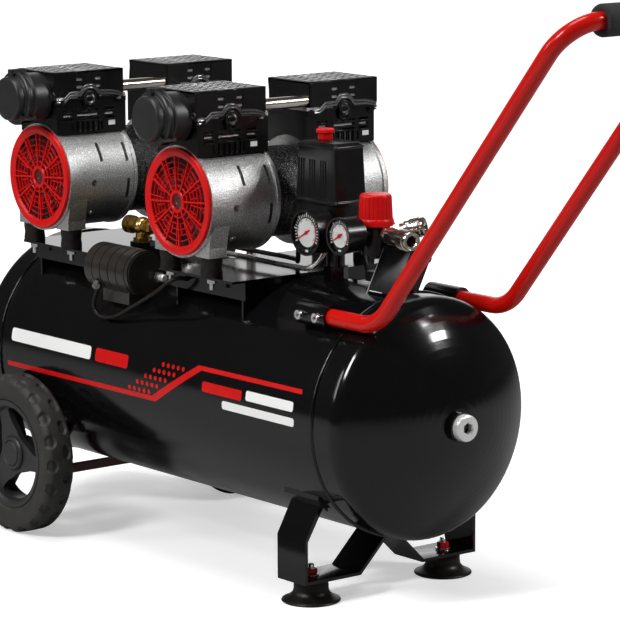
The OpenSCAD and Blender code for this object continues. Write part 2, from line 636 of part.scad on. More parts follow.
module terminal_box() color(BLACK) difference() {
  union() {
    translate([283.5, -22, 376]) rotate([-27, 0, 0]) { slab(0, 49, 0, 32, -30, 42); slab(-1, 50, -1, 33, 42, 48); }
    slab(250, 286, -4, 12, 370, 382);
    slab(262, 272, 0, 8, 350, 372);
  }
  tank_solid(2.7);
}

// ---------- the whole object, row origin under its middle ----------
module placed() translate([shift_x, 0, 0]) children();
placed() tank_shell();
placed() tank_heads();
placed() end_plugs();
placed() drain_valve();
placed() drain_knob();
placed() foot_strap_near();
placed() foot_strap_far();
placed() rubber_feet();
placed() foot_bolts();
placed() wheel_brackets();
placed() axle();
placed() wheel_rim_near();
placed() wheel_tyre_near();
placed() wheel_rim_far();
placed() wheel_tyre_far();
placed() handle_sockets();
placed() handle_tube();
placed() handle_grip();
placed() handle_bolts();
placed() switch_base();
placed() switch_cover();
placed() switch_knob();
placed() manifold();
placed() gauge_cases();
placed() gauge_dials();
placed() gauge_lenses();
placed() needle_tank();
placed() needle_outlet();
placed() regulator_body();
placed() regulator_knob();
placed() coupler_bodies();
placed() coupler_sleeve_a();
placed() coupler_sleeve_b();
placed() safety_valve();
placed() safety_pull();
placed() check_valve();
placed() air_tubes();
placed() wiring();
placed() capacitor_case();
placed() cable_glands();
placed() terminal_box();
placed() support_plates();
placed() isolators();
placed() mount_screws();
placed() crankcases();
placed() grilles();
placed() bearings();
placed() stators();
placed() windings();
placed() rotor_1();
placed() rotor_2();
placed() fans_1();
placed() fans_2();
placed() cylinders();
placed() pistons();
placed() head_blocks();
placed() shrouds();
placed() top_covers();
placed() link_tubes();
placed() air_filters();
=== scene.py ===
import json
from math import atan2, cos, degrees, hypot, pi, radians, sin, tan

import bmesh
import bpy
from mathutils import Matrix, Vector


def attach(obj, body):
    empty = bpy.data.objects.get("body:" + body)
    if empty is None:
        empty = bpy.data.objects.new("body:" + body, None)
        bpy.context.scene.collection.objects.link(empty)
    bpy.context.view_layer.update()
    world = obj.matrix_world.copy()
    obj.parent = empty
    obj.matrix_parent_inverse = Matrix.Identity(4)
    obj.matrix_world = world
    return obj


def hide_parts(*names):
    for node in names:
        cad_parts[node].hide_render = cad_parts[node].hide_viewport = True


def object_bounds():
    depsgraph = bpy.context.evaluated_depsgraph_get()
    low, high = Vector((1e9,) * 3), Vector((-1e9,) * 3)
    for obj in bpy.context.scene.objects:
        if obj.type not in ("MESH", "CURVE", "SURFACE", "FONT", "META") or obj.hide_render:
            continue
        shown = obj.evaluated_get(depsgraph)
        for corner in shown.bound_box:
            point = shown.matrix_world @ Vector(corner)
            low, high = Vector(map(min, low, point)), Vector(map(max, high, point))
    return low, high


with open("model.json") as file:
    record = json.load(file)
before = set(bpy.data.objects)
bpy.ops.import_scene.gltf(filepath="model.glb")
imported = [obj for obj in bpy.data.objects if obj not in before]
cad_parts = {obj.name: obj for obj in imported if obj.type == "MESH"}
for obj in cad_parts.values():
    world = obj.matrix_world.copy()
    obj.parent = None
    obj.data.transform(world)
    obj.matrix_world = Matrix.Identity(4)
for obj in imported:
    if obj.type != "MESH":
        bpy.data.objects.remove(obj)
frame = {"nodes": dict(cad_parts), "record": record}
cad_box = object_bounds()
NODES = frame["nodes"]
ROOT = "frame_body"
RECORD_SLOTS = {m["slot"] for m in frame["record"]["materials"]}
NODE_SLOTS = {s["node"]: s["material_slot"] for s in frame["record"]["subparts"]}
MATS = {}
MM = Matrix.Scale(0.001, 4)

# the tank's middle in the row frame and its radius, in metres
TANK_X = cad_box[0][0] + 0.432
TANK_Z = 0.2196
TANK_R = 0.145

# the camera's place from the tank's middle in metres; its azimuth, elevation and roll in degrees
CAMERA_PLACE = (3.25114, -2.47282, 1.01095)
CAMERA_ANGLES = (51.5236, 9.8691, -0.2631)
LENS_MM = 192.9426
BACKDROP_DIRECTION = (-0.763, 0.606, 0.225)
FLOOR_REACH = 30.0

# places and sizes in millimetres; X is counted from the tank's middle
WHEEL_X, WHEEL_Y, WHEEL_Z = -248.0, 171.2, 101.9
TYRE_STEPS = 400
TREADS = 20
# each row of tread pockets: its place across the tyre, its phase and its half sizes round and across
TREAD_ROWS = ((-7.0, 0.0, 0.26, 5.2), (13.5, 0.5, 0.24, 6.5), (-20.5, 0.5, 0.2, 3.4))
PUMP_X = (-238.7, 57.7)
HEADS = [(px, side) for px in PUMP_X for side in (-1, 1)]
SHAFT_Z = 456.1
HEAD_Y = 87.0
COVER_HALF = 41.2
RIDGE = ((-50, 553), (-40, 553.5), (-34, 557), (-30, 561), (-14, 561), (-9, 567), (-4, 569.5), (4, 569.5),
         (9, 567), (14, 561), (34, 560), (44, 558), (50, 555))  # y from the head's middle, z
REGULATOR_X = 265
GAUGE_Y = -57
GAUGES = (("tank", 206, 427.5, 25.0), ("outlet", 268, 430.5, 19.8))  # name, x, z, radius
SCALE_START = 210  # where a dial's zero stands, in degrees


# ---- camera and light
def aim(obj, position, target):
    obj.location = position
    obj.rotation_euler = (Vector(target) - Vector(position)).to_track_quat("-Z", "Y").to_euler()


def make_camera():
    azimuth, elevation, roll = (radians(v) for v in CAMERA_ANGLES)
    back = Vector((sin(azimuth) * cos(elevation), -cos(azimuth) * cos(elevation), sin(elevation)))
    right = Vector((cos(azimuth), sin(azimuth), 0.0))
    up = back.cross(right)
    right_rolled = right * cos(roll) + up * sin(roll)
    up_rolled = up * cos(roll) - right * sin(roll)
    data = bpy.data.cameras.new("camera")
    data.sensor_width = 36.0
    data.lens = LENS_MM
    data.clip_end = 60.0
    cam = linked("camera", data)
    basis = Matrix((right_rolled, up_rolled, back)).transposed().to_4x4()
    basis.translation = Vector((CAMERA_PLACE[0] + TANK_X, CAMERA_PLACE[1], CAMERA_PLACE[2]))
    cam.matrix_world = basis
    bpy.context.scene.camera = cam


def linked(name, data):
    """A new object with this data, in the scene."""
    obj = bpy.data.objects.new(name, data)
    bpy.context.scene.collection.objects.link(obj)
    return obj


def preset(node, values):
    """Sets a node's own inputs by name."""
    for name, value in values.items():
        node.inputs[name].default_value = value


def area(name, position, target, width, height, energy):
    light = bpy.data.lights.new(name, "AREA")
    light.shape = "RECTANGLE"
    light.size = width
    light.size_y = height
    light.energy = energy
    aim(linked(name, light), position, target)


def make_studio():
    """White backdrop behind the object, dimmer room in front of it, soft boxes above, and a pale floor."""
    scene = bpy.context.scene
    scene.view_settings.view_transform = "Standard"
    world = bpy.data.worlds.new("studio")
    world.use_nodes = True
    tree = world.node_tree
    ground = tree.nodes["Background"]
    where = tree.nodes.new("ShaderNodeTexCoord")
    away = tree.nodes.new("ShaderNodeVectorMath")
    away.operation = "DOT_PRODUCT"
    away.inputs[1].default_value = BACKDROP_DIRECTION
    tree.links.new(where.outputs["Generated"], away.inputs[0])
    glow = eased(tree, away.outputs["Value"], (0.86, 0.985), (0.07, 1.15))
    path = tree.nodes.new("ShaderNodeLightPath")
    pick = tree.nodes.new("ShaderNodeMix")
    pick.inputs["B"].default_value = 1.0
    tree.links.new(path.outputs["Is Camera Ray"], pick.inputs["Factor"])
    tree.links.new(glow, pick.inputs["A"])
    ground.inputs["Color"].default_value = (1, 1, 1, 1)
    tree.links.new(pick.outputs["Result"], ground.inputs["Strength"])
    scene.world = world
    area("top", (-0.1, -0.3, 3.6), (0.0, 0, 0.2), 1.6, 1.6, 50)
    area("key", (0.1, -2.3, 2.35), (0.1, 0, 0.3), 0.55, 1.0, 60)
    for height in (1.74, 2.26):
        area("back_right", (2.0, 1.57, height), (0.15, 0, 0.35), 0.5, 0.15, 23)
    area("left", (-1.6, -2.6, 1.6), (-0.1, 0, 0.3), 0.8, 1.2, 20)
    mesh = bpy.data.meshes.new("floor")
    corners = [(sx * FLOOR_REACH, sy * FLOOR_REACH, 0) for sx, sy in ((-1, -1), (1, -1), (1, 1), (-1, 1))]
    mesh.from_pydata(corners, [], [(0, 1, 2, 3)])
    floor = linked("floor", mesh)
    floor.data.materials.append(floor_material())


def floor_material():
    """Matt pale floor that runs out to plain white away from the object. For camera rays alone it glows, 0.42
    near the object rising to 0.97 far away: painted light that lifts its shadows. Other rays see its colour
    at 0.45, the camera at 0.85.
    """
    mat = bpy.data.materials.new("floor")
    mat.use_nodes = True
    tree = mat.node_tree
    shader = tree.nodes["Principled BSDF"]
    preset(shader, {"Roughness": 0.7, "Specular IOR Level": 0.1, "Emission Color": (1, 1, 1, 1)})
    where = tree.nodes.new("ShaderNodeTexCoord")
    far = tree.nodes.new("ShaderNodeVectorMath")
    far.operation = "LENGTH"
    tree.links.new(where.outputs["Object"], far.inputs[0])
    # painted light: a glow that only camera rays see, growing with distance from the object
    fade = eased(tree, far.outputs["Value"], (0.45, 2.2), (0.42, 0.97))
    path = tree.nodes.new("ShaderNodeLightPath")
    only = tree.nodes.new("ShaderNodeMath")
    only.operation = "MULTIPLY"
    tree.links.new(fade, only.inputs[0])
    tree.links.new(path.outputs["Is Camera Ray"], only.inputs[1])
    tree.links.new(only.outputs["Value"], shader.inputs["Emission Strength"])
    tone = tree.nodes.new("ShaderNodeMapRange")
    preset(tone, {"To Min": 0.45, "To Max": 0.85})
    tree.links.new(path.outputs["Is Camera Ray"], tone.inputs["Value"])
    tree.links.new(tone.outputs["Result"], shader.inputs["Base Color"])
    return mat


# ---- materials
def eased(tree, value, span, levels):
    """Output that eases from the first level to the second while the value crosses the span."""
    node = tree.nodes.new("ShaderNodeMapRange")
    node.interpolation_type = "SMOOTHSTEP"
    preset(node, {"From Min": span[0], "From Max": span[1], "To Min": levels[0], "To Max": levels[1]})
    tree.links.new(value, node.inputs["Value"])
    return node.outputs["Result"]


def noise(tree, where, scale, detail):
    node = tree.nodes.new("ShaderNodeTexNoise")
    preset(node, {"Scale": scale, "Detail": detail})
    tree.links.new(where.outputs["Object"], node.inputs["Vector"])
    return node.outputs["Fac"]


def sprinkled(tree, where, under, colour, threshold, scale):
    """The colour under it with specks of a second colour where a fine noise passes the threshold."""
    cut = tree.nodes.new("ShaderNodeValToRGB")
    cut.color_ramp.elements[0].position = threshold
    cut.color_ramp.elements[1].position = threshold + 0.04
    tree.links.new(noise(tree, where, scale, 3.0), cut.inputs["Fac"])
    mix = tree.nodes.new("ShaderNodeMix")
    mix.data_type = "RGBA"
    tree.links.new(cut.outputs["Color"], mix.inputs["Factor"])
    tree.links.new(under, mix.inputs["A"])
    mix.inputs["B"].default_value = (*colour, 1)
    return mix.outputs["Result"]


def material(name, colour, rough, metal=0.0, vary=0.12, vary_scale=40.0, grain=0.0, grain_scale=900.0,
             coat=0.0, rough_vary=0.06, specks=None, spec=None, distance=0.0004):
    """Principled surface with noise in its colour and roughness and a fine grain in its bump.
    specks is (colour, threshold, scale) for a second colour sprinkled on the first."""
    mat = bpy.data.materials.new(name)
    mat.use_nodes = True
    tree = mat.node_tree
    nodes, links = tree.nodes, tree.links
    shader = nodes["Principled BSDF"]
    shader.inputs["Metallic"].default_value = metal
    if coat:
        preset(shader, {"Coat Weight": coat, "Coat Roughness": 0.06})
    if spec is not None:
        shader.inputs["Specular IOR Level"].default_value = spec
    where = nodes.new("ShaderNodeTexCoord")
    cloud = noise(tree, where, vary_scale, 6.0)
    shader.inputs["Base Color"].default_value = (*colour, 1)
    if vary:
        ramp = nodes.new("ShaderNodeValToRGB")
        for element, position, change in zip(ramp.color_ramp.elements, (0.3, 0.7), (1 - vary, 1 + vary)):
            element.position = position
            element.color = (*(min(1.0, c * change) for c in colour), 1)
        links.new(cloud, ramp.inputs["Fac"])
        colour_out = ramp.outputs["Color"]
        if specks:
            colour_out = sprinkled(tree, where, colour_out, *specks)
        links.new(colour_out, shader.inputs["Base Color"])
    spread = nodes.new("ShaderNodeMapRange")
    preset(spread, {"To Min": max(0.02, rough - rough_vary), "To Max": min(1.0, rough + rough_vary)})
    links.new(cloud, spread.inputs["Value"])
    links.new(spread.outputs["Result"], shader.inputs["Roughness"])
    if grain:
        bump = nodes.new("ShaderNodeBump")
        preset(bump, {"Strength": grain, "Distance": distance})
        links.new(noise(tree, where, grain_scale, 4.0), bump.inputs["Height"])
        links.new(bump.outputs["Normal"], shader.inputs["Normal"])
    MATS[name] = mat
    return mat


def make_materials():
    # paints
    material("black_paint", (0.003, 0.003, 0.0034), 0.12, rough_vary=0.02, vary=0.12, grain=0.06,
             grain_scale=420, spec=0.36)
    material("red_paint", (0.54, 0.006, 0.003), 0.2, vary=0.05, vary_scale=12, grain=0.03, spec=0.28)
    # dark_red_paint is the handle's red paint darkened to the tone the bar under the tank shows: painted
    # shade; the plug seals use it as their own reddish colour
    material("dark_red_paint", (0.07, 0.008, 0.007), 0.4, vary=0.1, grain=0.1)
    # metals
    material("bright_steel", (0.66, 0.66, 0.67), 0.26, 1.0, grain=0.1, vary_scale=120)
    material("chrome", (0.52, 0.47, 0.42), 0.2, 1.0, vary=0.06, rough_vary=0.05, vary_scale=60)
    # the light specks on cast_aluminium are painted glints standing in for the casting's sparkle
    material("cast_aluminium", (0.47, 0.47, 0.465), 0.4, 1.0, vary=0.25, vary_scale=560, grain=1.0,
             grain_scale=520, specks=((0.8, 0.8, 0.8), 0.56, 700), distance=0.0008)
    material("pipe_aluminium", (0.74, 0.70, 0.69), 0.28, 1.0, grain=0.08)
    material("brass", (0.66, 0.42, 0.12), 0.24, 1.0, vary=0.18, vary_scale=150, grain=0.1)
    material("copper", (0.5, 0.2, 0.08), 0.35, 0.9, vary=0.2, vary_scale=300, grain=0.3)
    material("zinc", (0.80, 0.80, 0.79), 0.34, 0.55, vary=0.06, grain=0.1)
    # the light specks on laminations are painted glints: sparkle of reflected light put into the colour
    material("laminations", (0.006, 0.006, 0.0062), 0.22, 0.3, vary=0.3, vary_scale=300, grain=1.0,
             grain_scale=520, specks=((0.6, 0.6, 0.6), 0.63, 1100), distance=0.0012)
    # rubber, foam and plastics
    material("rubber", (0.008, 0.0058, 0.0045), 0.4, vary=0.25, vary_scale=90, grain=0.25, grain_scale=500,
             spec=0.25)
    material("tyre", (0.021, 0.020, 0.018), 0.62, vary=0.25, vary_scale=70, grain=0.35, grain_scale=420)
    material("foam", (0.014, 0.014, 0.015), 0.85, vary=0.3, vary_scale=260, grain=1.0, grain_scale=500,
             distance=0.0008)
    material("black_plastic", (0.0042, 0.004, 0.004), 0.25, vary=0.18, grain=0.1, grain_scale=800, spec=0.36)
    # gloss_black's base is much lighter than black_plastic's: painted highlight, so ridges, cover lattice and
    # gland bodies read as bright lines on black plastic
    material("gloss_black", (0.05, 0.05, 0.05), 0.12, vary=0.1, spec=1.0, coat=1.0)
    material("dull_black", (0.011, 0.011, 0.0112), 0.4, vary=0.15, grain=0.2, grain_scale=900)
    material("grey_plastic", (0.018, 0.018, 0.018), 0.45, vary=0.14, grain=0.3, grain_scale=700)
    material("red_plastic", (0.58, 0.005, 0.005), 0.3, vary=0.06, vary_scale=60, grain=0.1, spec=0.25)
    material("white_dial", (0.86, 0.86, 0.85), 0.5, vary=0.02)
    material("cap_housing", (0.018, 0.0145, 0.012), 0.3, vary=0.15, grain=0.1)
    lens = material("lens", (1, 1, 1), 0.03, vary=0.0)
    preset(lens.node_tree.nodes["Principled BSDF"], {"Transmission Weight": 1.0, "IOR": 1.05})


def dress_nodes():
    for name, obj in NODES.items():
        obj.data.materials.clear()
        obj.data.materials.append(MATS[NODE_SLOTS[name]])


# ---- mesh helpers
def finish_mesh(name, bm, slot, body=ROOT, smooth_angle=30.0):
    """Turns the mesh into an object that rides on a body; its shading breaks at sharper angles than given."""
    bmesh.ops.remove_doubles(bm, verts=bm.verts, dist=1e-6)
    bmesh.ops.recalc_face_normals(bm, faces=bm.faces)
    mesh = bpy.data.meshes.new(name)
    bm.to_mesh(mesh)
    bm.free()
    for poly in mesh.polygons:
        poly.use_smooth = True
    mesh.set_sharp_from_angle(angle=radians(smooth_angle))
    obj = linked(name, mesh)
    mesh.materials.append(MATS[slot])
    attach(obj, body)
    slot if slot in RECORD_SLOTS else "black_plastic"
    return obj


def bevelled(obj, width, angle=35.0):
    mod = obj.modifiers.new("bevel", "BEVEL")
    mod.width = width
    mod.segments = 2
    mod.limit_method = "ANGLE"
    mod.angle_limit = radians(angle)
    return obj


def add_box(bm, low, high, place):
    """A box between two corners, given in the frame that place starts from."""
    made = bmesh.ops.create_cube(bm, size=1.0)
    low, high = Vector(low), Vector(high)
    for v in made["verts"]:
        v.co = place @ (Vector((a * b for a, b in zip(v.co, high - low))) + (low + high) / 2)


def skin(bm, rings):
    """Quads between neighbouring rings of equal length."""
    n = len(rings[0])
    for low, high in zip(rings, rings[1:]):
        for i in range(n):
            j = (i + 1) % n
            bm.faces.new((low[i], low[j], high[j], high[i]))


def add_lathe(bm, profile, place, segments=64, closed=False):
    """Turns (radius, height) points about local Z. place is the matrix from local to row frame."""
    rings = []
    for radius, height in profile:
        if radius < 1e-7:
            rings.append([bm.verts.new(place @ Vector((0, 0, height)))])
            continue
        ring = []
        for i in range(segments):
            a = 2 * pi * i / segments
            ring.append(bm.verts.new(place @ Vector((radius * cos(a), radius * sin(a), height))))
        rings.append(ring)
    pairs = list(zip(rings, rings[1:]))
    if closed:
        pairs.append((rings[-1], rings[0]))
    for low, high in pairs:
        for i in range(segments):
            j = (i + 1) % segments
            if len(low) == 1 and len(high) == 1:
                continue
            if len(low) == 1:
                bm.faces.new((low[0], high[j], high[i]))
            elif len(high) == 1:
                bm.faces.new((low[i], low[j], high[0]))
            else:
                bm.faces.new((low[i], low[j], high[j], high[i]))


def add_prism(bm, outline, place, low, high, holes=()):
    """Extrudes a flat outline (x, y) along local Z from low to high, with optional holes."""
    edges, sides = [], []
    for loop in [outline] + list(holes):
        bottom = [bm.verts.new(Vector((x, y, low))) for x, y in loop]
        top = [bm.verts.new(Vector((x, y, high))) for x, y in loop]
        n = len(loop)
        for i in range(n):
            j = (i + 1) % n
            edges.append((bm.edges.new((bottom[i], bottom[j])), bm.edges.new((top[i], top[j]))))
            sides.append((bottom[i], bottom[j], top[j], top[i]))
    for end in (0, 1):
        bmesh.ops.triangle_fill(bm, edges=[pair[end] for pair in edges], use_beauty=True)
    verts = set()
    for quad in sides:
        bm.faces.new(quad)
        verts.update(quad)
    for v in verts:
        v.co = place @ v.co


def facing(origin, axis, up=(0, 0, 1)):
    """Matrix whose local Z points along axis and whose local Y is near up."""
    z = Vector(axis).normalized()
    x = Vector(up).cross(z)
    x = x.normalized() if x.length > 1e-6 else Vector((1, 0, 0))
    y = z.cross(x)
    m = Matrix((x, y, z)).transposed().to_4x4()
    m.translation = Vector(origin)
    return m


def circle(radius, n, cx=0.0, cy=0.0):
    return [(cx + radius * cos(2 * pi * i / n), cy + radius * sin(2 * pi * i / n)) for i in range(n)]


def smooth_tube(name, points, radius, slot):
    """Round bent pipe or cable through the points (mm), a smooth bevelled curve with capped ends; the radius
    is in metres.
    """
    curve = bpy.data.curves.new(name, "CURVE")
    curve.dimensions = "3D"
    curve.bevel_depth = radius
    curve.bevel_resolution = 6
    curve.resolution_u = 10
    curve.use_fill_caps = True
    spline = curve.splines.new("BEZIER")
    spline.bezier_points.add(len(points) - 1)
    for bp, co in zip(spline.bezier_points, points):
        bp.co = at(*co)
        bp.handle_left_type = bp.handle_right_type = "AUTO"
    obj = linked(name, curve)
    curve.materials.append(MATS[slot])
    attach(obj, ROOT)
    return obj


def at(x, y, z):
    """A point given in millimetres from the tank's middle, in the row frame in metres."""
    return Vector((TANK_X + x / 1000, y / 1000, z / 1000))


def upright(x, y, z):
    """Matrix from millimetres about this point to the row frame, without any turn."""
    return Matrix.Translation(at(x, y, z)) @ MM


def turned(place, angle):
    """The same place turned about its own Z, in degrees."""
    return place @ Matrix.Rotation(radians(angle), 4, "Z")


# ---- wheels
def tread_depth(turn, across, side):
    """How deep the tread is cut, in millimetres. turn runs 0 to 1 round the tyre, across is -20 to 20."""
    depth = 0.0
    cell = turn * TREADS
    for row, phase, half_u, half_v in TREAD_ROWS:
        u = (cell + phase) % 1.0 - 0.5
        v = across * side - row
        d = (u / half_u) ** 2 + (v / half_v) ** 2
        if d < 1.35:
            edge = min(1.0, max(0.0, (1.35 - d) / 0.5))
            depth = max(depth, 3.2 * edge * edge * (3 - 2 * edge))
    return depth


def make_tyre(name, node, body, side):
    """Lathed tyre whose outer band is pushed in where the tread pattern is cut."""
    shoulder = [(69, -13.5), (71, -16), (75, -17.6), (80, -18.6), (86, -19.6), (91, -20), (95, -19.6),
                (98, -18.2), (100, -16)]
    crown = [(101.5 + 0.4 * (1 - (v / 14.0) ** 2), float(v)) for v in range(-14, 15)]
    profile = shoulder + crown + [(r, -v) for r, v in reversed(shoulder)]
    bm = bmesh.new()
    rings = []
    for i in range(TYRE_STEPS):
        a = 2 * pi * i / TYRE_STEPS
        ring = []
        for r, v in profile:
            r_cut = r - (tread_depth(i / TYRE_STEPS, v, side) if r > 97.5 else 0.0)
            x, z = WHEEL_X + r_cut * cos(a), WHEEL_Z + r_cut * sin(a)
            ring.append(bm.verts.new(at(x, side * WHEEL_Y + v, z)))
        rings.append(ring)
    skin(bm, rings + rings[:1])
    obj = finish_mesh(name, bm, "tyre", body, 50)
    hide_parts(node)


def window_outline(mid):
    """One rounded three-sided opening of the rim, symmetric about the angle mid."""
    half, r_out = 46.0, 58.5
    pts = []
    for i in range(25):
        a = radians(mid - half + 2 * half * i / 24)
        pts.append((r_out * cos(a), r_out * sin(a)))
    flank = [(half + 3.5, 55), (half + 2, 50), (half - 4, 41), (22, 31), (12, 27.5)]
    for da, r in flank + [(0, 26.5)] + [(-da, r) for da, r in reversed(flank)]:
        a = radians(mid + da)
        pts.append((r * cos(a), r * sin(a)))
    return pts


def make_rim(name, node, body, side):
    """Three-spoke plastic rim: webbed disc with three windows, outer ring, hub, cap and spoke ribs."""
    def mirror(angle):
        return angle if side < 0 else 180 - angle

    bm = bmesh.new()
    place = facing(at(WHEEL_X, 0, WHEEL_Z), (0, side, 0)) @ MM
    windows = [window_outline(mirror(52 + 120 * k)) for k in range(3)]
    add_prism(bm, circle(64, 96), place, 170.5, 178.5, windows + [circle(8.1, 32)])
    add_lathe(bm, [(60.5, 154), (60.5, 183.5), (62, 185.5), (66, 187.3), (69.4, 187.0), (69.4, 154)], place,
              96, True)
    add_lathe(bm, [(8.1, 153), (19, 153), (20, 155), (20, 170)], place, 48)
    add_lathe(bm, [(0, 181.6), (15, 181.6), (16, 183), (14.5, 184), (0, 184)], place, 48)
    add_lathe(bm, [(14, 176), (22, 176), (22, 180.5), (20.5, 182.4), (17, 182.8), (15.8, 181.4), (14, 181.4)],
              place, 64, True)
    for k in range(3):
        turn = turned(place, mirror(-8 + 120 * k))
        for offset in (-5.5, 5.5):
            add_box(bm, (19, offset - 1, 157), (61, offset + 1, 171), turn)
    obj = finish_mesh(name, bm, "grey_plastic", body)
    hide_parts(node)


def make_wheels():
    for label, side in (("near", -1), ("far", 1)):
        body = label + "_wheel"
        make_tyre("tyre_" + label, "wheel_tyre_" + label, body, side)
        make_rim("rim_" + label, "wheel_rim_" + label, body, side)


# ---- pumps
def make_grilles():
    """Red fan guards: a broad rim, thin rings, long raised spokes and staggered short ribs."""
    bm = bmesh.new()
    hubs = bmesh.new()
    for px, side in HEADS:
        place = facing(at(px, side * 135, SHAFT_Z), (0, side, 0)) @ MM
        add_lathe(bm, [(54.2, 0), (65.4, 0), (65.4, 2.2), (64.6, 3.8), (62, 4.5), (59, 4.3), (55.6, 3.0),
                       (54.2, 2.2)], place, 112, True)
        for r, half in ((19.5, 0.9), (27, 0.6), (34, 0.6), (41, 0.6), (47.8, 0.6)):
            add_lathe(bm, [(r - half, 0.4), (r + half, 0.4), (r + half, 2.3), (r + half * 0.4, 2.9),
                           (r - half * 0.4, 2.9), (r - half, 2.3)], place, 84, True)
        add_lathe(bm, [(9.6, 0.4), (14.2, 0.4), (14.2, 3.2), (13.2, 4.2), (10.6, 4.2), (9.6, 3.2)], place,
                  48, True)
        add_lathe(hubs, [(0, 0.4), (9.7, 0.4), (9.7, 1.5), (8.6, 1.9), (4.2, 1.9), (3.4, 1.2), (0, 1.2)],
                  place, 40)
        for k in range(12):
            add_box(bm, (13, -1.05, 0.4), (55.2, 1.05, 3.6), turned(place, 30 * k + 4))
        for k in range(24):
            add_box(bm, (27, -0.6, 0.4), (41, 0.6, 2.5), turned(place, 15 * k + 11.5))
            add_box(bm, (41, -0.6, 0.4), (55, 0.6, 2.5), turned(place, 15 * k + 4 + 7.5 * (k % 2)))
    obj = finish_mesh("fan_grilles", bm, "red_plastic", ROOT, 40)
    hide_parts("grilles")
    finish_mesh("grille_hubs", hubs, "dark_red_paint", ROOT, 40)


def make_crankcase_trim():
    """Parting lines, flange rings, hole rims and lug screws on the four cast crankcases."""
    cast, dark, bright = bmesh.new(), bmesh.new(), bmesh.new()
    for px, side in HEADS:
        place = facing(at(px, 0, SHAFT_Z), (0, side, 0)) @ MM
        for a, b in ((107.6, 109.2), (127.2, 128.4)):
            add_lathe(dark, [(60.4, a), (61.15, a), (61.15, b), (60.4, b)], place, 96, True)
        add_lathe(cast, [(60.6, 109.2), (61.6, 109.4), (61.8, 110.4), (60.6, 111.4)], place, 96, True)
        add_lathe(bright, [(62, 131.2), (64.9, 131.2), (65.3, 131.9), (65.3, 134.6), (64.8, 134.9),
                           (62, 134.9)], place, 96, True)
        add_lathe(cast, [(61, 33), (62.4, 33), (62.9, 34), (62.9, 36.2), (61.9, 37.6), (60.8, 38)], place,
                  96, True)
        for mirror in (1, -1):
            for drop, y, r in ((4, 98, 4.0), (42, 92, 3.5)):
                a = radians(drop)
                normal = Vector((mirror * cos(a), 0, -sin(a)))
                spot = facing(at(px, side * y, SHAFT_Z) + normal * 0.061, normal) @ MM
                add_lathe(bright, [(r, -0.8), (r + 1.5, -0.8), (r + 1.4, 0.35), (r + 0.7, 0.7), (r, 0.3)],
                          spot, 32, True)
        for sx in (-1, 1):
            add_lathe(bright, [(2.4, 0), (4.1, 0), (4.1, 0.5), (3.4, 0.9), (2.4, 0.6)],
                      upright(px + sx * 43.5, side * 118, 401.2), 24, True)
    finish_mesh("crankcase_rims", cast, "cast_aluminium", ROOT, 40)
    finish_mesh("crankcase_lines", dark, "dull_black", ROOT, 40)
    finish_mesh("crankcase_rings", bright, "pipe_aluminium", ROOT, 40)


def make_top_covers():
    """Vented lids: a waffle of ribs over a bright finned head, with two by two slots on each end."""
    bm, lattice = bmesh.new(), bmesh.new()
    x0, x1, z0, z1 = -COVER_HALF, COVER_HALF, 560.0, 591.9
    wall, rim = 2.4, 6
    for px, side in HEADS:
        place = upright(px, 0, 0)
        lo, hi = (-139.9, -34.0) if side < 0 else (34.0, 139.9)
        for y in (lo, hi - wall):
            add_box(bm, (x0, y, z0), (x1, y + wall, z1 - 1.2), place)
        add_side_walls(bm, place, lo, hi, z0, z1 - 1.2, x0, x1, wall)
        for y in (lo, hi - rim):
            add_box(bm, (x0, y, z1 - 3.2), (x1, y + rim, z1 - 0.6), place)
        for x in (x0, x1 - rim):
            add_box(bm, (x, lo, z1 - 3.2), (x + rim, hi, z1 - 0.6), place)
        for i in range(7):
            x = x0 + 5 + (x1 - x0 - 10) * i / 6
            add_box(lattice, (x - 1.1, lo + 3, z1 - 3.4), (x + 1.1, hi - 3, z1), place)
        for i in range(9):
            y = lo + 5 + (hi - lo - 10) * i / 8
            add_box(lattice, (x0 + 3, y - 1.1, z1 - 3.4), (x1 - 3, y + 1.1, z1), place)
    obj = bevelled(finish_mesh("vented_covers", bm, "black_plastic"), 0.0006)
    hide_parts("top_covers")
    # the lattice ribs take the lighter gloss_black: painted highlight on black plastic ribs
    bevelled(finish_mesh("cover_lattice", lattice, "gloss_black"), 0.0003)


def add_side_walls(bm, place, lo, hi, z0, z1, x0, x1, wall):
    """The two X walls of a cover, built from strips round two by two slots."""
    mid = (lo + hi) / 2
    slots_y = [(mid - 19, mid - 9), (mid + 9, mid + 19)]
    slots_z = [(570.0, 573.4), (579.5, 582.9)]
    for xa, xb in ((x0, x0 + wall), (x1 - wall, x1)):
        cuts_y = [lo] + [v for pair in slots_y for v in pair] + [hi]
        for i in range(0, len(cuts_y) - 1, 2):
            add_box(bm, (xa, cuts_y[i], z0), (xb, cuts_y[i + 1], z1), place)
        for ya, yb in slots_y:
            cuts_z = [z0] + [v for pair in slots_z for v in pair] + [z1]
            for i in range(0, len(cuts_z) - 1, 2):
                add_box(bm, (xa, ya, cuts_z[i]), (xb, yb, cuts_z[i + 1]), place)


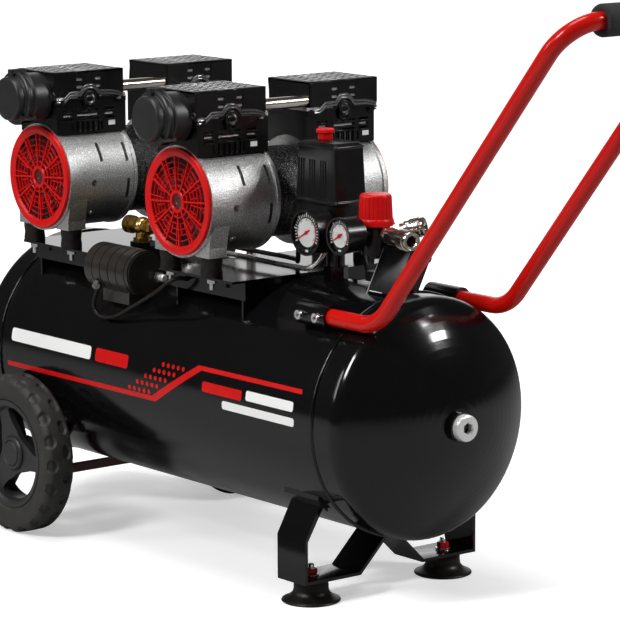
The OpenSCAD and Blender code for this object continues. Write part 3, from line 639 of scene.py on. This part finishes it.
# ---- gauges, decal, pipes
def make_gauge_faces():
    """Dial plates with a dark ring, bright ticks, fine inner marks and a red arc on the right."""
    dark, white, red = bmesh.new(), bmesh.new(), bmesh.new()
    for _, x, z, r in GAUGES:
        place = facing(at(x, GAUGE_Y, z), (0, -1, 0)) @ MM
        disc = r * 0.69
        add_lathe(white, [(1.1, 0.02), (disc, 0.02), (disc, 0.1), (1.1, 0.1)], place, 72, True)
        add_lathe(dark, [(disc, 0.02), (r * 0.998, 0.02), (r * 0.998, 0.12), (disc, 0.12)], place, 72, True)
        for k in range(25):
            turn = turned(place, SCALE_START - 10 * k)
            end, half = (0.95, 0.032) if k % 4 == 0 else (0.88, 0.02)
            add_box(white, (r * 0.75, -r * half, 0.12), (r * end, r * half, 0.2), turn)
            add_box(dark, (r * 0.60, -r * 0.008, 0.1), (r * 0.655, r * 0.008, 0.14), turn)
        for k in range(16):
            turn = turned(place, -42 + 82 * k / 15)
            add_box(red, (r * 0.67, -r * 0.045, 0.12), (r * 0.73, r * 0.045, 0.2), turn)
        add_box(white, (-2.6, -r * 0.93, 0.12), (2.6, -r * 0.82, 0.2), place)
    plates = finish_mesh("dial_plates", white, "white_dial", ROOT, 35)
    finish_mesh("dial_rings", dark, "black_plastic", ROOT, 35)
    finish_mesh("dial_marks", red, "red_plastic", ROOT, 35)
    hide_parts("gauge_dials")


def make_needles():
    """Tapered red pointers with a short tail and a round hub."""
    for label, x, z, r in GAUGES:
        bm = bmesh.new()
        place = turned(facing(at(x, GAUGE_Y, z), (0, -1, 0)) @ MM, SCALE_START)
        lower = [(-r * 0.30, -0.9), (-r * 0.12, -1.3), (r * 0.10, -1.1), (r * 0.80, -0.25)]
        add_prism(bm, lower + [(px, -py) for px, py in reversed(lower)], place, 0.6, 1.2)
        add_lathe(bm, [(0, 0.6), (2.4, 0.6), (2.4, 1.25), (1.9, 1.32), (0, 1.32)], place, 32)
        obj = finish_mesh("pointer_" + label, bm, "red_plastic", label + "_needle")
        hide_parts("needle_" + label)


def on_tank(x, angle, lift):
    """A point lift mm off the tank's near side, at x and at an angle above level in degrees."""
    a = radians(angle)
    r = TANK_R * 1000 + lift
    return at(x, -r * cos(a), TANK_Z * 1000 + r * sin(a))


def decal(name, slot, polygons, lift=0.15):
    """Flat shapes (x, arc height in mm) laid on the tank's near side."""
    bm = bmesh.new()
    for poly in polygons:
        bm.faces.new([bm.verts.new((x, h, 0)) for x, h in subdivide(poly, 4.0)])
    bmesh.ops.triangulate(bm, faces=bm.faces[:])
    for _ in range(3):
        long = [e for e in bm.edges if e.calc_length() > 9.0]
        if not long:
            break
        bmesh.ops.subdivide_edges(bm, edges=long, cuts=1)
        bmesh.ops.triangulate(bm, faces=bm.faces[:])
    grown = bmesh.ops.extrude_face_region(bm, geom=bm.faces[:])
    for v in (g for g in grown["geom"] if isinstance(g, bmesh.types.BMVert)):
        v.co.z = 0.12
    for v in bm.verts:
        angle = degrees(v.co.y / (TANK_R * 1000))
        v.co = on_tank(v.co.x, angle, lift + v.co.z)
    return finish_mesh(name, bm, slot, ROOT, 60)


def subdivide(poly, step):
    out = []
    for (xa, ya), (xb, yb) in zip(poly, poly[1:] + poly[:1]):
        n = max(1, int(hypot(xb - xa, yb - ya) / step))
        for i in range(n):
            out.append((xa + (xb - xa) * i / n, ya + (yb - ya) * i / n))
    return out


def make_pipes():
    """The pale pipe from the check valve to the switch, and the discharge pipe behind the heads."""
    pipe = smooth_tube("unloader_pipe", [
        (-98, -62, 399), (-86, -58, 398), (-72, -46, 392), (-56, -34, 382), (-30, -30, 378.5),
        (60, -30, 377.5), (150, -30, 377), (176, -28.5, 379), (186, -24, 386), (190, -17, 399),
        (190, -10, 410)], 0.0032, "pipe_aluminium")
    bm = bmesh.new()
    place = upright(0, 0, 0)
    across = place @ Matrix.Translation((-195.2, HEAD_Y, 549.5)) @ Matrix.Rotation(pi / 2, 4, "Y")
    add_lathe(bm, [(0, 0), (6, 0), (6, 209.4), (0, 209.4)], across, 40)
    down = place @ Matrix.Translation((-90.5, HEAD_Y, 338))
    add_lathe(bm, [(0, 0), (6, 0), (6, 211), (0, 211)], down, 40)
    add_lathe(bm, [(0, 0), (11, 0), (11, 12), (9.5, 14), (0, 14)], down, 6)
    tee = place @ Matrix.Translation((-90.5, HEAD_Y, 549.5))
    add_lathe(bm, [(0, -14), (8, -14), (8, 7), (6, 9), (0, 9)], tee, 40)
    finish_mesh("discharge_pipe", bm, "pipe_aluminium", ROOT, 35)
    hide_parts("air_tubes")


def make_cables():
    loop = smooth_tube("capacitor_cable", [
        (-113.1, -138, 332), (-113.1, -138, 326), (-117.3, -137.6, 319.5), (-121.8, -136.8, 311.5),
        (-123, -135.8, 303.5), (-119, -135, 297), (-110, -134.5, 293.6), (-100, -134, 293.8),
        (-80.8, -134, 297.5), (-48.4, -134, 311.9), (-16.5, -134, 327.4), (12.4, -132, 343.3),
        (24, -127, 353), (30, -117, 357), (32, -105.6, 355)], 0.0026, "rubber")
    smooth_tube("switch_lead_front", [(132, 12, 450), (124, 12, 449), (117, 12, 446.5), (110, 11, 444)],
                0.003, "rubber")
    smooth_tube("switch_lead_rear", [
        (132, -12, 450), (127, -11, 444), (125, -6, 420), (121, -3, 386), (110, 5, 376), (88, 19, 374),
        (0, 20.5, 374), (-100, 20.5, 374), (-188, 20, 374.5), (-200, 17.5, 381), (-206, 13.5, 394),
        (-210, 8, 407)], 0.003, "rubber")
    smooth_tube("box_lead", [(250, 4, 372), (232, 16, 374), (216, 22, 396), (210, 22, 425), (208, 21, 443)],
                0.003, "rubber")
    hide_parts("wiring")


# ---- carried-over shapes with softened edges
def softened(node, width, slot=None):
    """A copy of a CAD node's shape with its flat faces joined and its edges rounded."""
    source = NODES[node]
    body = next(k for k, v in frame["record"]["behaviour"]["bodies"].items() if node in v)
    bm = bmesh.new()
    bm.from_mesh(source.data)
    bmesh.ops.remove_doubles(bm, verts=bm.verts, dist=2e-6)
    bmesh.ops.dissolve_limit(bm, angle_limit=radians(0.6), verts=bm.verts, edges=bm.edges)
    for v in bm.verts:
        v.co = source.matrix_world @ v.co
    obj = finish_mesh(node + "_soft", bm, slot or NODE_SLOTS[node], body, 32)
    bevelled(obj, width, 32.0)
    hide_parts(node)


def add_loft(bm, outlines, place):
    """Closed skin through equal outlines, each (z, [(x, y), ...]), capped at both ends."""
    rings = [[bm.verts.new(place @ Vector((x, y, z))) for x, y in pts] for z, pts in outlines]
    skin(bm, rings)
    bm.faces.new(rings[0][::-1])
    bm.faces.new(rings[-1])


def rounded(half_x, half_y, r, cx=0.0, cy=0.0, n=5):
    """Outline of a rectangle with round corners."""
    pts = []
    for k, (sx, sy) in enumerate(((1, 1), (-1, 1), (-1, -1), (1, -1))):
        for i in range(n + 1):
            a = radians(90 * k + 90 * i / n)
            pts.append((cx + sx * (half_x - r) + r * cos(a), cy + sy * (half_y - r) + r * sin(a)))
    return pts


def sweep(name, points, radius, slot, sides):
    """Round bar through closely spaced points, in millimetres from the tank's middle, with flat ends."""
    pts = [at(*q) for q in points]
    bm = bmesh.new()
    rings = []
    normal = None
    for i, q in enumerate(pts):
        along = (pts[min(i + 1, len(pts) - 1)] - pts[max(i - 1, 0)]).normalized()
        if normal is None:
            normal = along.orthogonal().normalized()
        normal = (normal - along * normal.dot(along)).normalized()
        side = along.cross(normal)
        spokes = [normal * cos(a) + side * sin(a)
                  for a in (2 * pi * k / sides for k in range(sides))]
        rings.append([bm.verts.new(q + spoke * radius / 1000) for spoke in spokes])
    skin(bm, rings)
    bm.faces.new(rings[0][::-1])
    bm.faces.new(rings[-1])
    return finish_mesh(name, bm, slot, ROOT, 40)


# ---- printed decoration, plain shapes only
def pill(x0, x1, y0, y1, r):
    return rounded((x1 - x0) / 2, (y1 - y0) / 2, r, (x0 + x1) / 2, (y0 + y1) / 2, 4)


def make_decal():
    """A stepped stripe, rows of dots above its step, and blank bars where print would be."""
    foot, top, rise = 10.6, -7.4, 1.754  # where the step starts and millimetres along per millimetre up
    stripe = [(-308.5, -9.4), (foot, top), (99.7, 43.4), (299.6, 44.1), (300.6, 38.5), (107.0, 37.8),
              (17.5, -13.6), (-309, -15.6)]
    decal("stripe", "red_plastic", [stripe])
    dots = []
    for row in range(5):
        y = -3.5 + 9.4 * row
        edge = foot + (y - top) * rise
        dots += [circle(2.9, 16, edge - 12.5 - 10.2 * k, y) for k in range(5)]
    decal("dots", "red_plastic", dots, lift=0.12)
    decal("bars_white", "white_dial", [pill(-300, -122, 18, 35, 4), pill(198, 288, 15.5, 27.5, 3),
                                       pill(153, 291, -1.5, 8.5, 3)])
    decal("bars_red", "red_plastic", [pill(-112, -42, 18, 35, 4), pill(112, 190, 13.5, 26, 3)])


# ---- air filters
def make_filters():
    """Round intake filters: flat front disc, clamp ring with a twin ridge, and slim clips."""
    bm = bmesh.new()
    clip = (((30.5, -5.2, 20), (36.4, -3.6, 41)), ((30.5, 3.6, 20), (36.4, 5.2, 41)),
            ((27.0, -5.2, 39.4), (36.2, 5.2, 41)), ((30.2, -5.2, 19.6), (34.4, 5.2, 21.4)),
            ((28.0, -2.2, 34), (33.4, 2.2, 39.6)))
    for px in PUMP_X:
        place = facing(at(px + 5, -139.9, 559.4), (0, -1, 0)) @ MM
        add_lathe(bm, [(0, -0.5), (30.4, -0.5), (30.4, 21.4), (29.4, 22.0), (32.2, 22.6), (33.6, 23.4),
                       (33.8, 25.4), (33.0, 26.6), (31.4, 26.9), (30.9, 28.0), (30.9, 31.0), (31.4, 32.0),
                       (33.2, 32.4), (34.0, 33.4), (33.9, 35.4), (32.6, 36.6), (28.6, 37.0), (28.0, 37.8),
                       (27.6, 45.2), (27.0, 47.0), (26.0, 48.0), (25.0, 48.1), (24.3, 47.2), (0, 47.0)],
                  place, 112)
        for angle in (-52, 92, 200):
            for low, high in clip:
                add_box(bm, low, high, turned(place, angle))
        # hook eye on the cover beside the filter
        eye = facing(at(px + 38.3, -139.9, 563), (0, -1, 0)) @ MM
        add_lathe(bm, [(2.4, -0.4), (3.9, -0.4), (3.9, 1.0), (3.2, 1.5), (2.4, 1.0)], eye, 32, True)
    obj = bevelled(finish_mesh("filter_canisters", bm, "dull_black"), 0.0003)
    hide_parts("air_filters")


# ---- pump heads
def make_head_details():
    """Ridges, bosses, screws, fins and bright metal seen through the slots of the four heads."""
    dark, bright, labels, ridges = bmesh.new(), bmesh.new(), bmesh.new(), []
    place = upright(0, 0, 0)
    for px, side in HEADS:
        mid = side * HEAD_Y
        for sx in (-1, 1):
            face = px + sx * COVER_HALF
            wall = px + sx * 40.0
            for lift, out in ((0.0, 1.6), (3.4, 1.0)):
                ridges.append([(face + sx * out, mid + q, z + lift) for q, z in RIDGE])
            # round boss with a bright bush
            boss = facing(at(face, mid, 556.5), (sx, 0, 0)) @ MM
            add_lathe(dark, [(6.4, -1), (10, -1), (10, 3.2), (9, 4.2), (7.4, 4.2), (6.4, 3.2)], boss, 40,
                      True)
            add_lathe(bright, [(5.0, -1), (6.3, -1), (6.3, 2.6), (5.0, 1.4)], boss, 32, True)
            # screws at both ends of the ridge
            for q in (-46, 46):
                spot = facing(at(face - sx, mid + q, 551.5), (0, 0, 1)) @ MM
                add_lathe(bright, [(0, 4.4), (2.4, 4.3), (3.4, 3.4), (3.6, 2.2), (3.6, 0), (0, 0)], spot, 24)
                add_lathe(dark, [(0, 0), (5.4, 0), (5.4, 1.4), (0, 1.4)], spot, 28)
            # metal behind the slots of the cover
            behind = face - sx * 1.7
            for q in (-14, 14):
                for z in (570.2, 579.7):
                    low = (behind - 0.5, mid + q - 5.6, z - 0.4)
                    add_box(bright, low, (behind + 0.5, mid + q + 5.6, z + 2.0), place)
            # raised frames and bright bars in the shroud's slots
            behind = wall - sx * 2.6
            for c0, c1 in ((-39, -25), (-17, 15), (26, 39)):
                a, b = sorted((wall - sx * 0.2, wall + sx * 1.6))
                for z in (529, 534.5, 540):
                    add_box(dark, (a, mid + c0 - 1, z - 1.6), (b, mid + c1 + 1, z - 0.2), place)
                add_box(bright, (behind - 0.5, mid + c0, 534.2), (behind + 0.5, mid + c1, 536.2), place)
            # upright fins at the bottom of the shroud, with bright metal between them
            for i in range(5):
                q = mid - 16 + 8 * i
                a, b = sorted((wall, wall + sx * 2.4))
                add_box(dark, (a, q - 1.1, 514), (b, q + 1.1, 527.5), place)
                a, b = sorted((wall + sx * 0.2, wall + sx * 0.7))
                if i < 4:
                    add_box(bright, (a, q + 1.3, 515), (b, q + 2.6, 526), place)
        # small blank label
        add_box(labels, (px + 40.1, mid + 30, 520), (px + 40.4, mid + 40, 526), place)
    bevelled(finish_mesh("head_trim", dark, "black_plastic"), 0.0003)
    finish_mesh("head_metal", bright, "pipe_aluminium")
    finish_mesh("blank_labels", labels, "white_dial")
    # the ridges take the lighter gloss_black: painted highlight on the black ridges
    for i, pts in enumerate(ridges):
        sweep("ridge_%02d" % i, pts, 1.7, "gloss_black", 10)


# ---- switch, knobs, couplers
def make_switch():
    """Tapered hood with groups of fine ribs, and the red pull knob on top."""
    bm = bmesh.new()
    place = upright(181, 0, 0)
    add_loft(bm, [(455.5, rounded(39.6, 23.6, 3)), (457.5, rounded(40.6, 24.6, 3)),
                  (460.6, rounded(40.6, 24.6, 3)), (461.4, rounded(39.2, 23.2, 3)),
                  (523.5, rounded(35.9, 22.2, 3.4)), (524.6, rounded(36.6, 22.8, 3.6)),
                  (526.4, rounded(36.4, 22.6, 3.6)), (530.0, rounded(32.6, 19.2, 4)),
                  (530.4, rounded(31.8, 18.4, 4))], place)
    for x in (-33, -28, -23.5, -12, -7.5, -3, 9, 13.5, 18):
        for s in (-1, 1):
            low, high = sorted((s * 22.2, s * 23.5))
            add_box(bm, (x - 0.5, low, 463), (x + 0.5, high, 509), place)
    obj = bevelled(finish_mesh("switch_hood", bm, "black_plastic", ROOT, 25), 0.0004)
    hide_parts("switch_cover")
    knob = bmesh.new()
    spot = upright(171, 0, 0)
    add_lathe(knob, [(0, 512), (8, 512), (8, 531), (8.9, 532), (8.6, 538.4), (10.6, 538.8), (11.3, 539.6),
                     (11.3, 542.8), (10.6, 543.8), (9.4, 544.3), (0, 544.5)], spot, 56)
    for k in range(12):
        add_box(knob, (7.4, -0.8, 531), (9.0, 0.8, 536), turned(spot, 30 * k))
    obj = bevelled(finish_mesh("on_off_cap", knob, "red_plastic", "on_off_knob"), 0.0003)
    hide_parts("switch_knob")


def make_regulator():
    """Red knob: each profile point is radius, height and how far the 24 flutes are cut there."""
    bm = bmesh.new()
    place = upright(REGULATOR_X, 0, 437.5)
    profile = [(6.1, 33, 0), (6.1, 0, 0), (20.6, 0, 0), (21.6, 0.8, 0), (21.7, 6.4, 0), (21.0, 8.2, 0),
               (20.3, 9.2, 1), (20.2, 12, 1), (19.6, 24, 1), (19.1, 33, 1), (18.9, 35, 0.5), (18.2, 36.8, 0),
               (16.6, 37.8, 0), (0.01, 38, 0)]
    count = 240
    rings = []
    for radius, h, wave in profile:
        ring = []
        for i in range(count):
            a = 2 * pi * i / count
            r = radius - 0.55 * wave * (cos(24 * a) > 0.35)
            ring.append(bm.verts.new(place @ Vector((r * cos(a), r * sin(a), h))))
        rings.append(ring)
    skin(bm, rings)
    bm.faces.new(rings[0])
    bm.faces.new(rings[-1])
    obj = finish_mesh("regulator_cap", bm, "red_plastic", "regulator_dial", 28)
    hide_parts("regulator_knob")


def coupler_place(heading, lift, height):
    """Matrix for a coupler that leaves the manifold's middle at this heading and lift, in degrees."""
    a, t = radians(heading), radians(lift)
    axis = (cos(a) * cos(t), sin(a) * cos(t), sin(t))
    return facing(at(REGULATOR_X, 0, height), axis) @ MM


def make_couplers():
    """Two quick couplers: hexagon, body with a stepped mouth, a black valve disc down the mouth whose black
    is painted shade, and a ringed sliding sleeve.
    """
    bodies, shade = bmesh.new(), bmesh.new()
    pitch = 4.2
    for letter, n, end, rings, place in (("a", 28, 90, 4, coupler_place(-12, 0, 430)),
                                         ("b", 25, 62, 3, coupler_place(34, 13, 425))):
        add_lathe(bodies, [(0, 9), (5, 9), (5, n + 1), (0, n + 1)], place, 32)
        add_lathe(bodies, [(0, n), (9.0, n), (9.8, n + 0.8), (9.8, n + 7.2), (9.0, n + 8), (0, n + 8)],
                  place, 6)
        add_lathe(bodies, [(5.6, end - 24), (8.9, end - 24), (8.9, end - 4.6), (11, end - 4.2),
                           (11.3, end - 3.6), (11.3, end - 0.9), (10.7, end), (9.6, end), (9.2, end - 0.8),
                           (8.2, end - 0.8), (7.8, end - 0.1), (7.0, end - 0.1), (6.2, end - 1.2),
                           (5.6, end - 2.4)], place, 64, True)
        # black disc 15 mm down the mouth where the valve sits: painted shade in the bore
        add_lathe(shade, [(0, end - 15), (5.55, end - 15), (5.55, end - 14), (0, end - 14)], place, 32)
        add_lathe(bodies, [(0, end - 24), (8.9, end - 24), (8.9, n + 7), (0, n + 7)], place, 48)
        sleeve = bmesh.new()
        start, stop = n + 12.5, end - 4.6
        h = stop - pitch * rings
        profile = [(9.1, start), (10.2, start), (10.8, start + 0.8), (10.8, h - 1.0)]
        while h < stop - 3.4:
            profile += [(10.5, h), (12.1, h + 0.4), (12.1, h + 2.4), (10.5, h + 2.8)]
            h += pitch
        profile += [(10.8, stop - 0.8), (10.4, stop), (9.1, stop)]
        add_lathe(sleeve, profile, place, 72, True)
        obj = finish_mesh("sleeve_skin_" + letter, sleeve, "chrome", "sleeve_" + letter)
        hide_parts("coupler_sleeve_" + letter)
    obj = bevelled(finish_mesh("coupler_cores", bodies, "chrome"), 0.0003)
    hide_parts("coupler_bodies")
    finish_mesh("coupler_mouth_shade", shade, "black_plastic")


# ---- handle, feet, plugs
def make_handle():
    """One bent tube: a level run from the near socket, a bend, the slope, a corner, and the same mirrored."""
    y0, base, start_x, bend_x = 99.0, 344.0186, 259, 387.5
    bar_x, bar_z = 700.0, 709.7
    slope = atan2(bar_z - base, bar_x - bend_x)
    length = hypot(bar_z - base, bar_x - bend_x)
    big, corner = 60.0, 46.0
    t = big * tan(slope / 2)

    def lane(s, v):
        """A point s along the sloping part at sideways distance v."""
        return (bend_x + s * cos(slope), v, base + s * sin(slope))

    half = [(start_x + (bend_x - t - start_x) * i / 6, -y0, base) for i in range(7)]
    for i in range(1, 15):
        a = slope * i / 14
        half.append((bend_x - t + big * sin(a), -y0, base + big * (1 - cos(a))))
    half += [lane(t + (length - corner - t) * i / 16, -y0) for i in range(1, 17)]
    for i in range(1, 17):
        a = pi / 2 * i / 16
        half.append(lane(length - corner + corner * sin(a), -y0 + corner * (1 - cos(a))))
    path = half + [(x, -y, z) for x, y, z in reversed(half)]
    obj = sweep("handle_bar", path, 10.0, "red_paint", 40)
    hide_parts("handle_tube")
    bm = bmesh.new()
    place = facing(at(bar_x, 0, bar_z), (0, 1, 0)) @ MM
    add_lathe(bm, [(10.1, -51.6), (11.5, -52.5), (15.4, -52.5), (17.2, -51.7), (18, -49.6), (17.9, -25),
                   (17.75, 0), (17.9, 25), (18, 49.6), (17.2, 51.7), (15.4, 52.5), (11.5, 52.5),
                   (10.1, 51.6)], place, 72, True)
    obj = finish_mesh("grip_foam", bm, "foam", ROOT, 50)
    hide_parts("handle_grip")


def make_feet():
    """Flared rubber feet, each with a bright washer, a red lock nut and the end of its bolt."""
    rubber, metal, red = bmesh.new(), bmesh.new(), bmesh.new()
    for side in (-1, 1):
        place = upright(268.5, side * 102.6, 0)
        add_lathe(rubber, [(0, 0.6), (20, 0.6), (22, 0), (33.4, 0), (35, 0.8), (35.3, 2.0), (34.6, 3.2),
                           (32, 4.3), (28, 6.2), (24.6, 8.6), (22.3, 11.0), (21.3, 13.6), (20.8, 17),
                           (20.6, 25.6), (20.0, 26.6), (18.6, 27.0), (0, 27.0)], place, 72)
        add_lathe(metal, [(4.3, 31.05), (9.2, 31.05), (9.4, 31.5), (9.2, 32.3), (4.3, 32.5)], place, 40, True)
        add_lathe(red, [(0, 32.5), (6.9, 32.5), (7.5, 33.3), (7.5, 38.2), (6.6, 39.2), (0, 39.2)], place, 6)
        add_lathe(metal, [(0, 39.2), (4.8, 39.2), (4.6, 40.4), (3.8, 41.0), (3.8, 44.0), (3.2, 44.8),
                          (0, 44.9)], place, 28)
    obj = finish_mesh("foot_pads", rubber, "rubber", ROOT, 40)
    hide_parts("rubber_feet")
    washers = finish_mesh("foot_washers", metal, "bright_steel")
    nuts = finish_mesh("foot_nuts", red, "red_plastic")
    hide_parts("foot_bolts")


def make_plugs():
    """Round end plugs with a hexagon socket, on a reddish seal; the socket's floor is a black disc of painted
    shade.
    """
    bright, seal, dark = bmesh.new(), bmesh.new(), bmesh.new()
    for side in (-1, 1):
        place = facing(at(0, 0, TANK_Z * 1000), (side, 0, 0)) @ MM
        add_lathe(seal, [(11.8, 419.4), (17.4, 419.4), (17.6, 420.4), (17.4, 421.6), (11.8, 421.6)], place,
                  64, True)
        add_lathe(bright, [(7.2, 425), (7.2, 431.2), (8.0, 432), (13.8, 432), (15.4, 431), (15.9, 429.4),
                           (15.9, 422.8), (15.2, 421.7), (0, 421.7), (0, 425)], place, 64)
        # black hexagon floor of the socket: painted shade in the recess
        add_lathe(dark, [(0, 425.05), (7.15, 425.05), (7.15, 425.6), (0, 425.6)], place, 6)
        for k in range(6):
            add_box(bright, (6.0, -3.6, 425), (7.4, 3.6, 431.0), turned(place, 60 * k))
    obj = finish_mesh("plug_faces", bright, "zinc")
    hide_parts("end_plugs")
    finish_mesh("plug_seals", seal, "dark_red_paint", ROOT, 40)
    finish_mesh("plug_socket_shade", dark, "black_plastic")


def make_glands():
    """Black cable glands on the capacitor housing and a bright foot plate near the terminal box."""
    black, bright = bmesh.new(), bmesh.new()
    down = upright(-113.1, -138, 0)
    add_lathe(black, [(3.0, 328), (4.2, 328), (4.6, 328.8), (4.6, 334), (3.0, 334)], down, 32, True)
    add_lathe(black, [(3.0, 330), (5.9, 330), (6.4, 330.6), (6.4, 334.4), (5.9, 335), (3.0, 335)], down, 6,
              True)
    add_lathe(black, [(0, 334), (4.6, 334), (4.6, 339), (0, 339)], down, 32)
    side = facing(at(0, -94, 347), (1, 0, 0)) @ MM
    add_lathe(black, [(0, -44), (6.4, -44), (7, -43.4), (7, -38.6), (6.4, -38), (0, -38)], side, 6)
    add_lathe(bright, [(0, -38), (4.6, -38), (4.6, -31), (4.0, -30), (0, -30)], side, 32)
    add_box(bright, (228, 2, 362.5), (261, 20, 367), upright(0, 0, 0))
    add_lathe(bright, [(0, 2), (3.2, 2), (3.9, 1.4), (4, 0), (0, 0)], upright(239, 10, 367), 32)
    obj = bevelled(finish_mesh("gland_metal", bright, "zinc"), 0.0003)
    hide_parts("cable_glands")
    # the gland bodies take the lighter gloss_black: painted highlight
    bevelled(finish_mesh("gland_bodies", black, "gloss_black"), 0.0003)


def make_box_trim():
    """Thin zinc bars on the terminal box, which leans back: painted highlights along an upright edge and
    along a step.
    """
    bright = bmesh.new()
    lean = Matrix.Rotation(radians(-27), 4, "X")
    place = Matrix.Translation(at(283.5, -22, 376)) @ lean @ MM
    # painted highlights: a bar up the box's edge and a bar along its step
    add_box(bright, (-0.35, -0.35, -29), (0.35, 0.35, 41.8), place)
    add_box(bright, (3, -0.4, -12.6), (26, 0.1, -11.6), place)
    finish_mesh("box_edge_highlights", bright, "zinc")


def make_dial_numbers():
    """Plain counting numbers round each dial."""
    for label, x, z, r in GAUGES:
        for k in range(7):
            a = radians(SCALE_START - 40 * k)
            text = bpy.data.curves.new("number_%s_%d" % (label, k), "FONT")
            text.body = str(2 * k)
            text.size = 0.0048 * r / 25
            text.align_x = text.align_y = "CENTER"
            text.extrude = 0.00003
            obj = linked(text.name, text)
            obj.location = at(x + r * 0.62 * cos(a), GAUGE_Y - 0.15, z + r * 0.62 * sin(a))
            obj.rotation_euler = (radians(90), 0, 0)
            text.materials.append(MATS["dull_black"])
            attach(obj, ROOT)


for make in (make_materials, make_camera, make_studio, dress_nodes, make_wheels, make_grilles,
             make_top_covers, make_gauge_faces, make_needles, make_dial_numbers, make_pipes, make_cables,
             make_decal, make_filters, make_crankcase_trim, make_head_details, make_switch, make_regulator,
             make_couplers, make_handle, make_feet, make_plugs, make_glands, make_box_trim):
    make()
softened("capacitor_case", 0.0007, "cap_housing")
for name, width in (("foot_strap_near", 0.0008), ("foot_strap_far", 0.0008), ("wheel_brackets", 0.0006),
                    ("handle_sockets", 0.0008), ("switch_base", 0.0008), ("terminal_box", 0.0012),
                    ("support_plates", 0.0005), ("manifold", 0.0006)):
    softened(name, width)

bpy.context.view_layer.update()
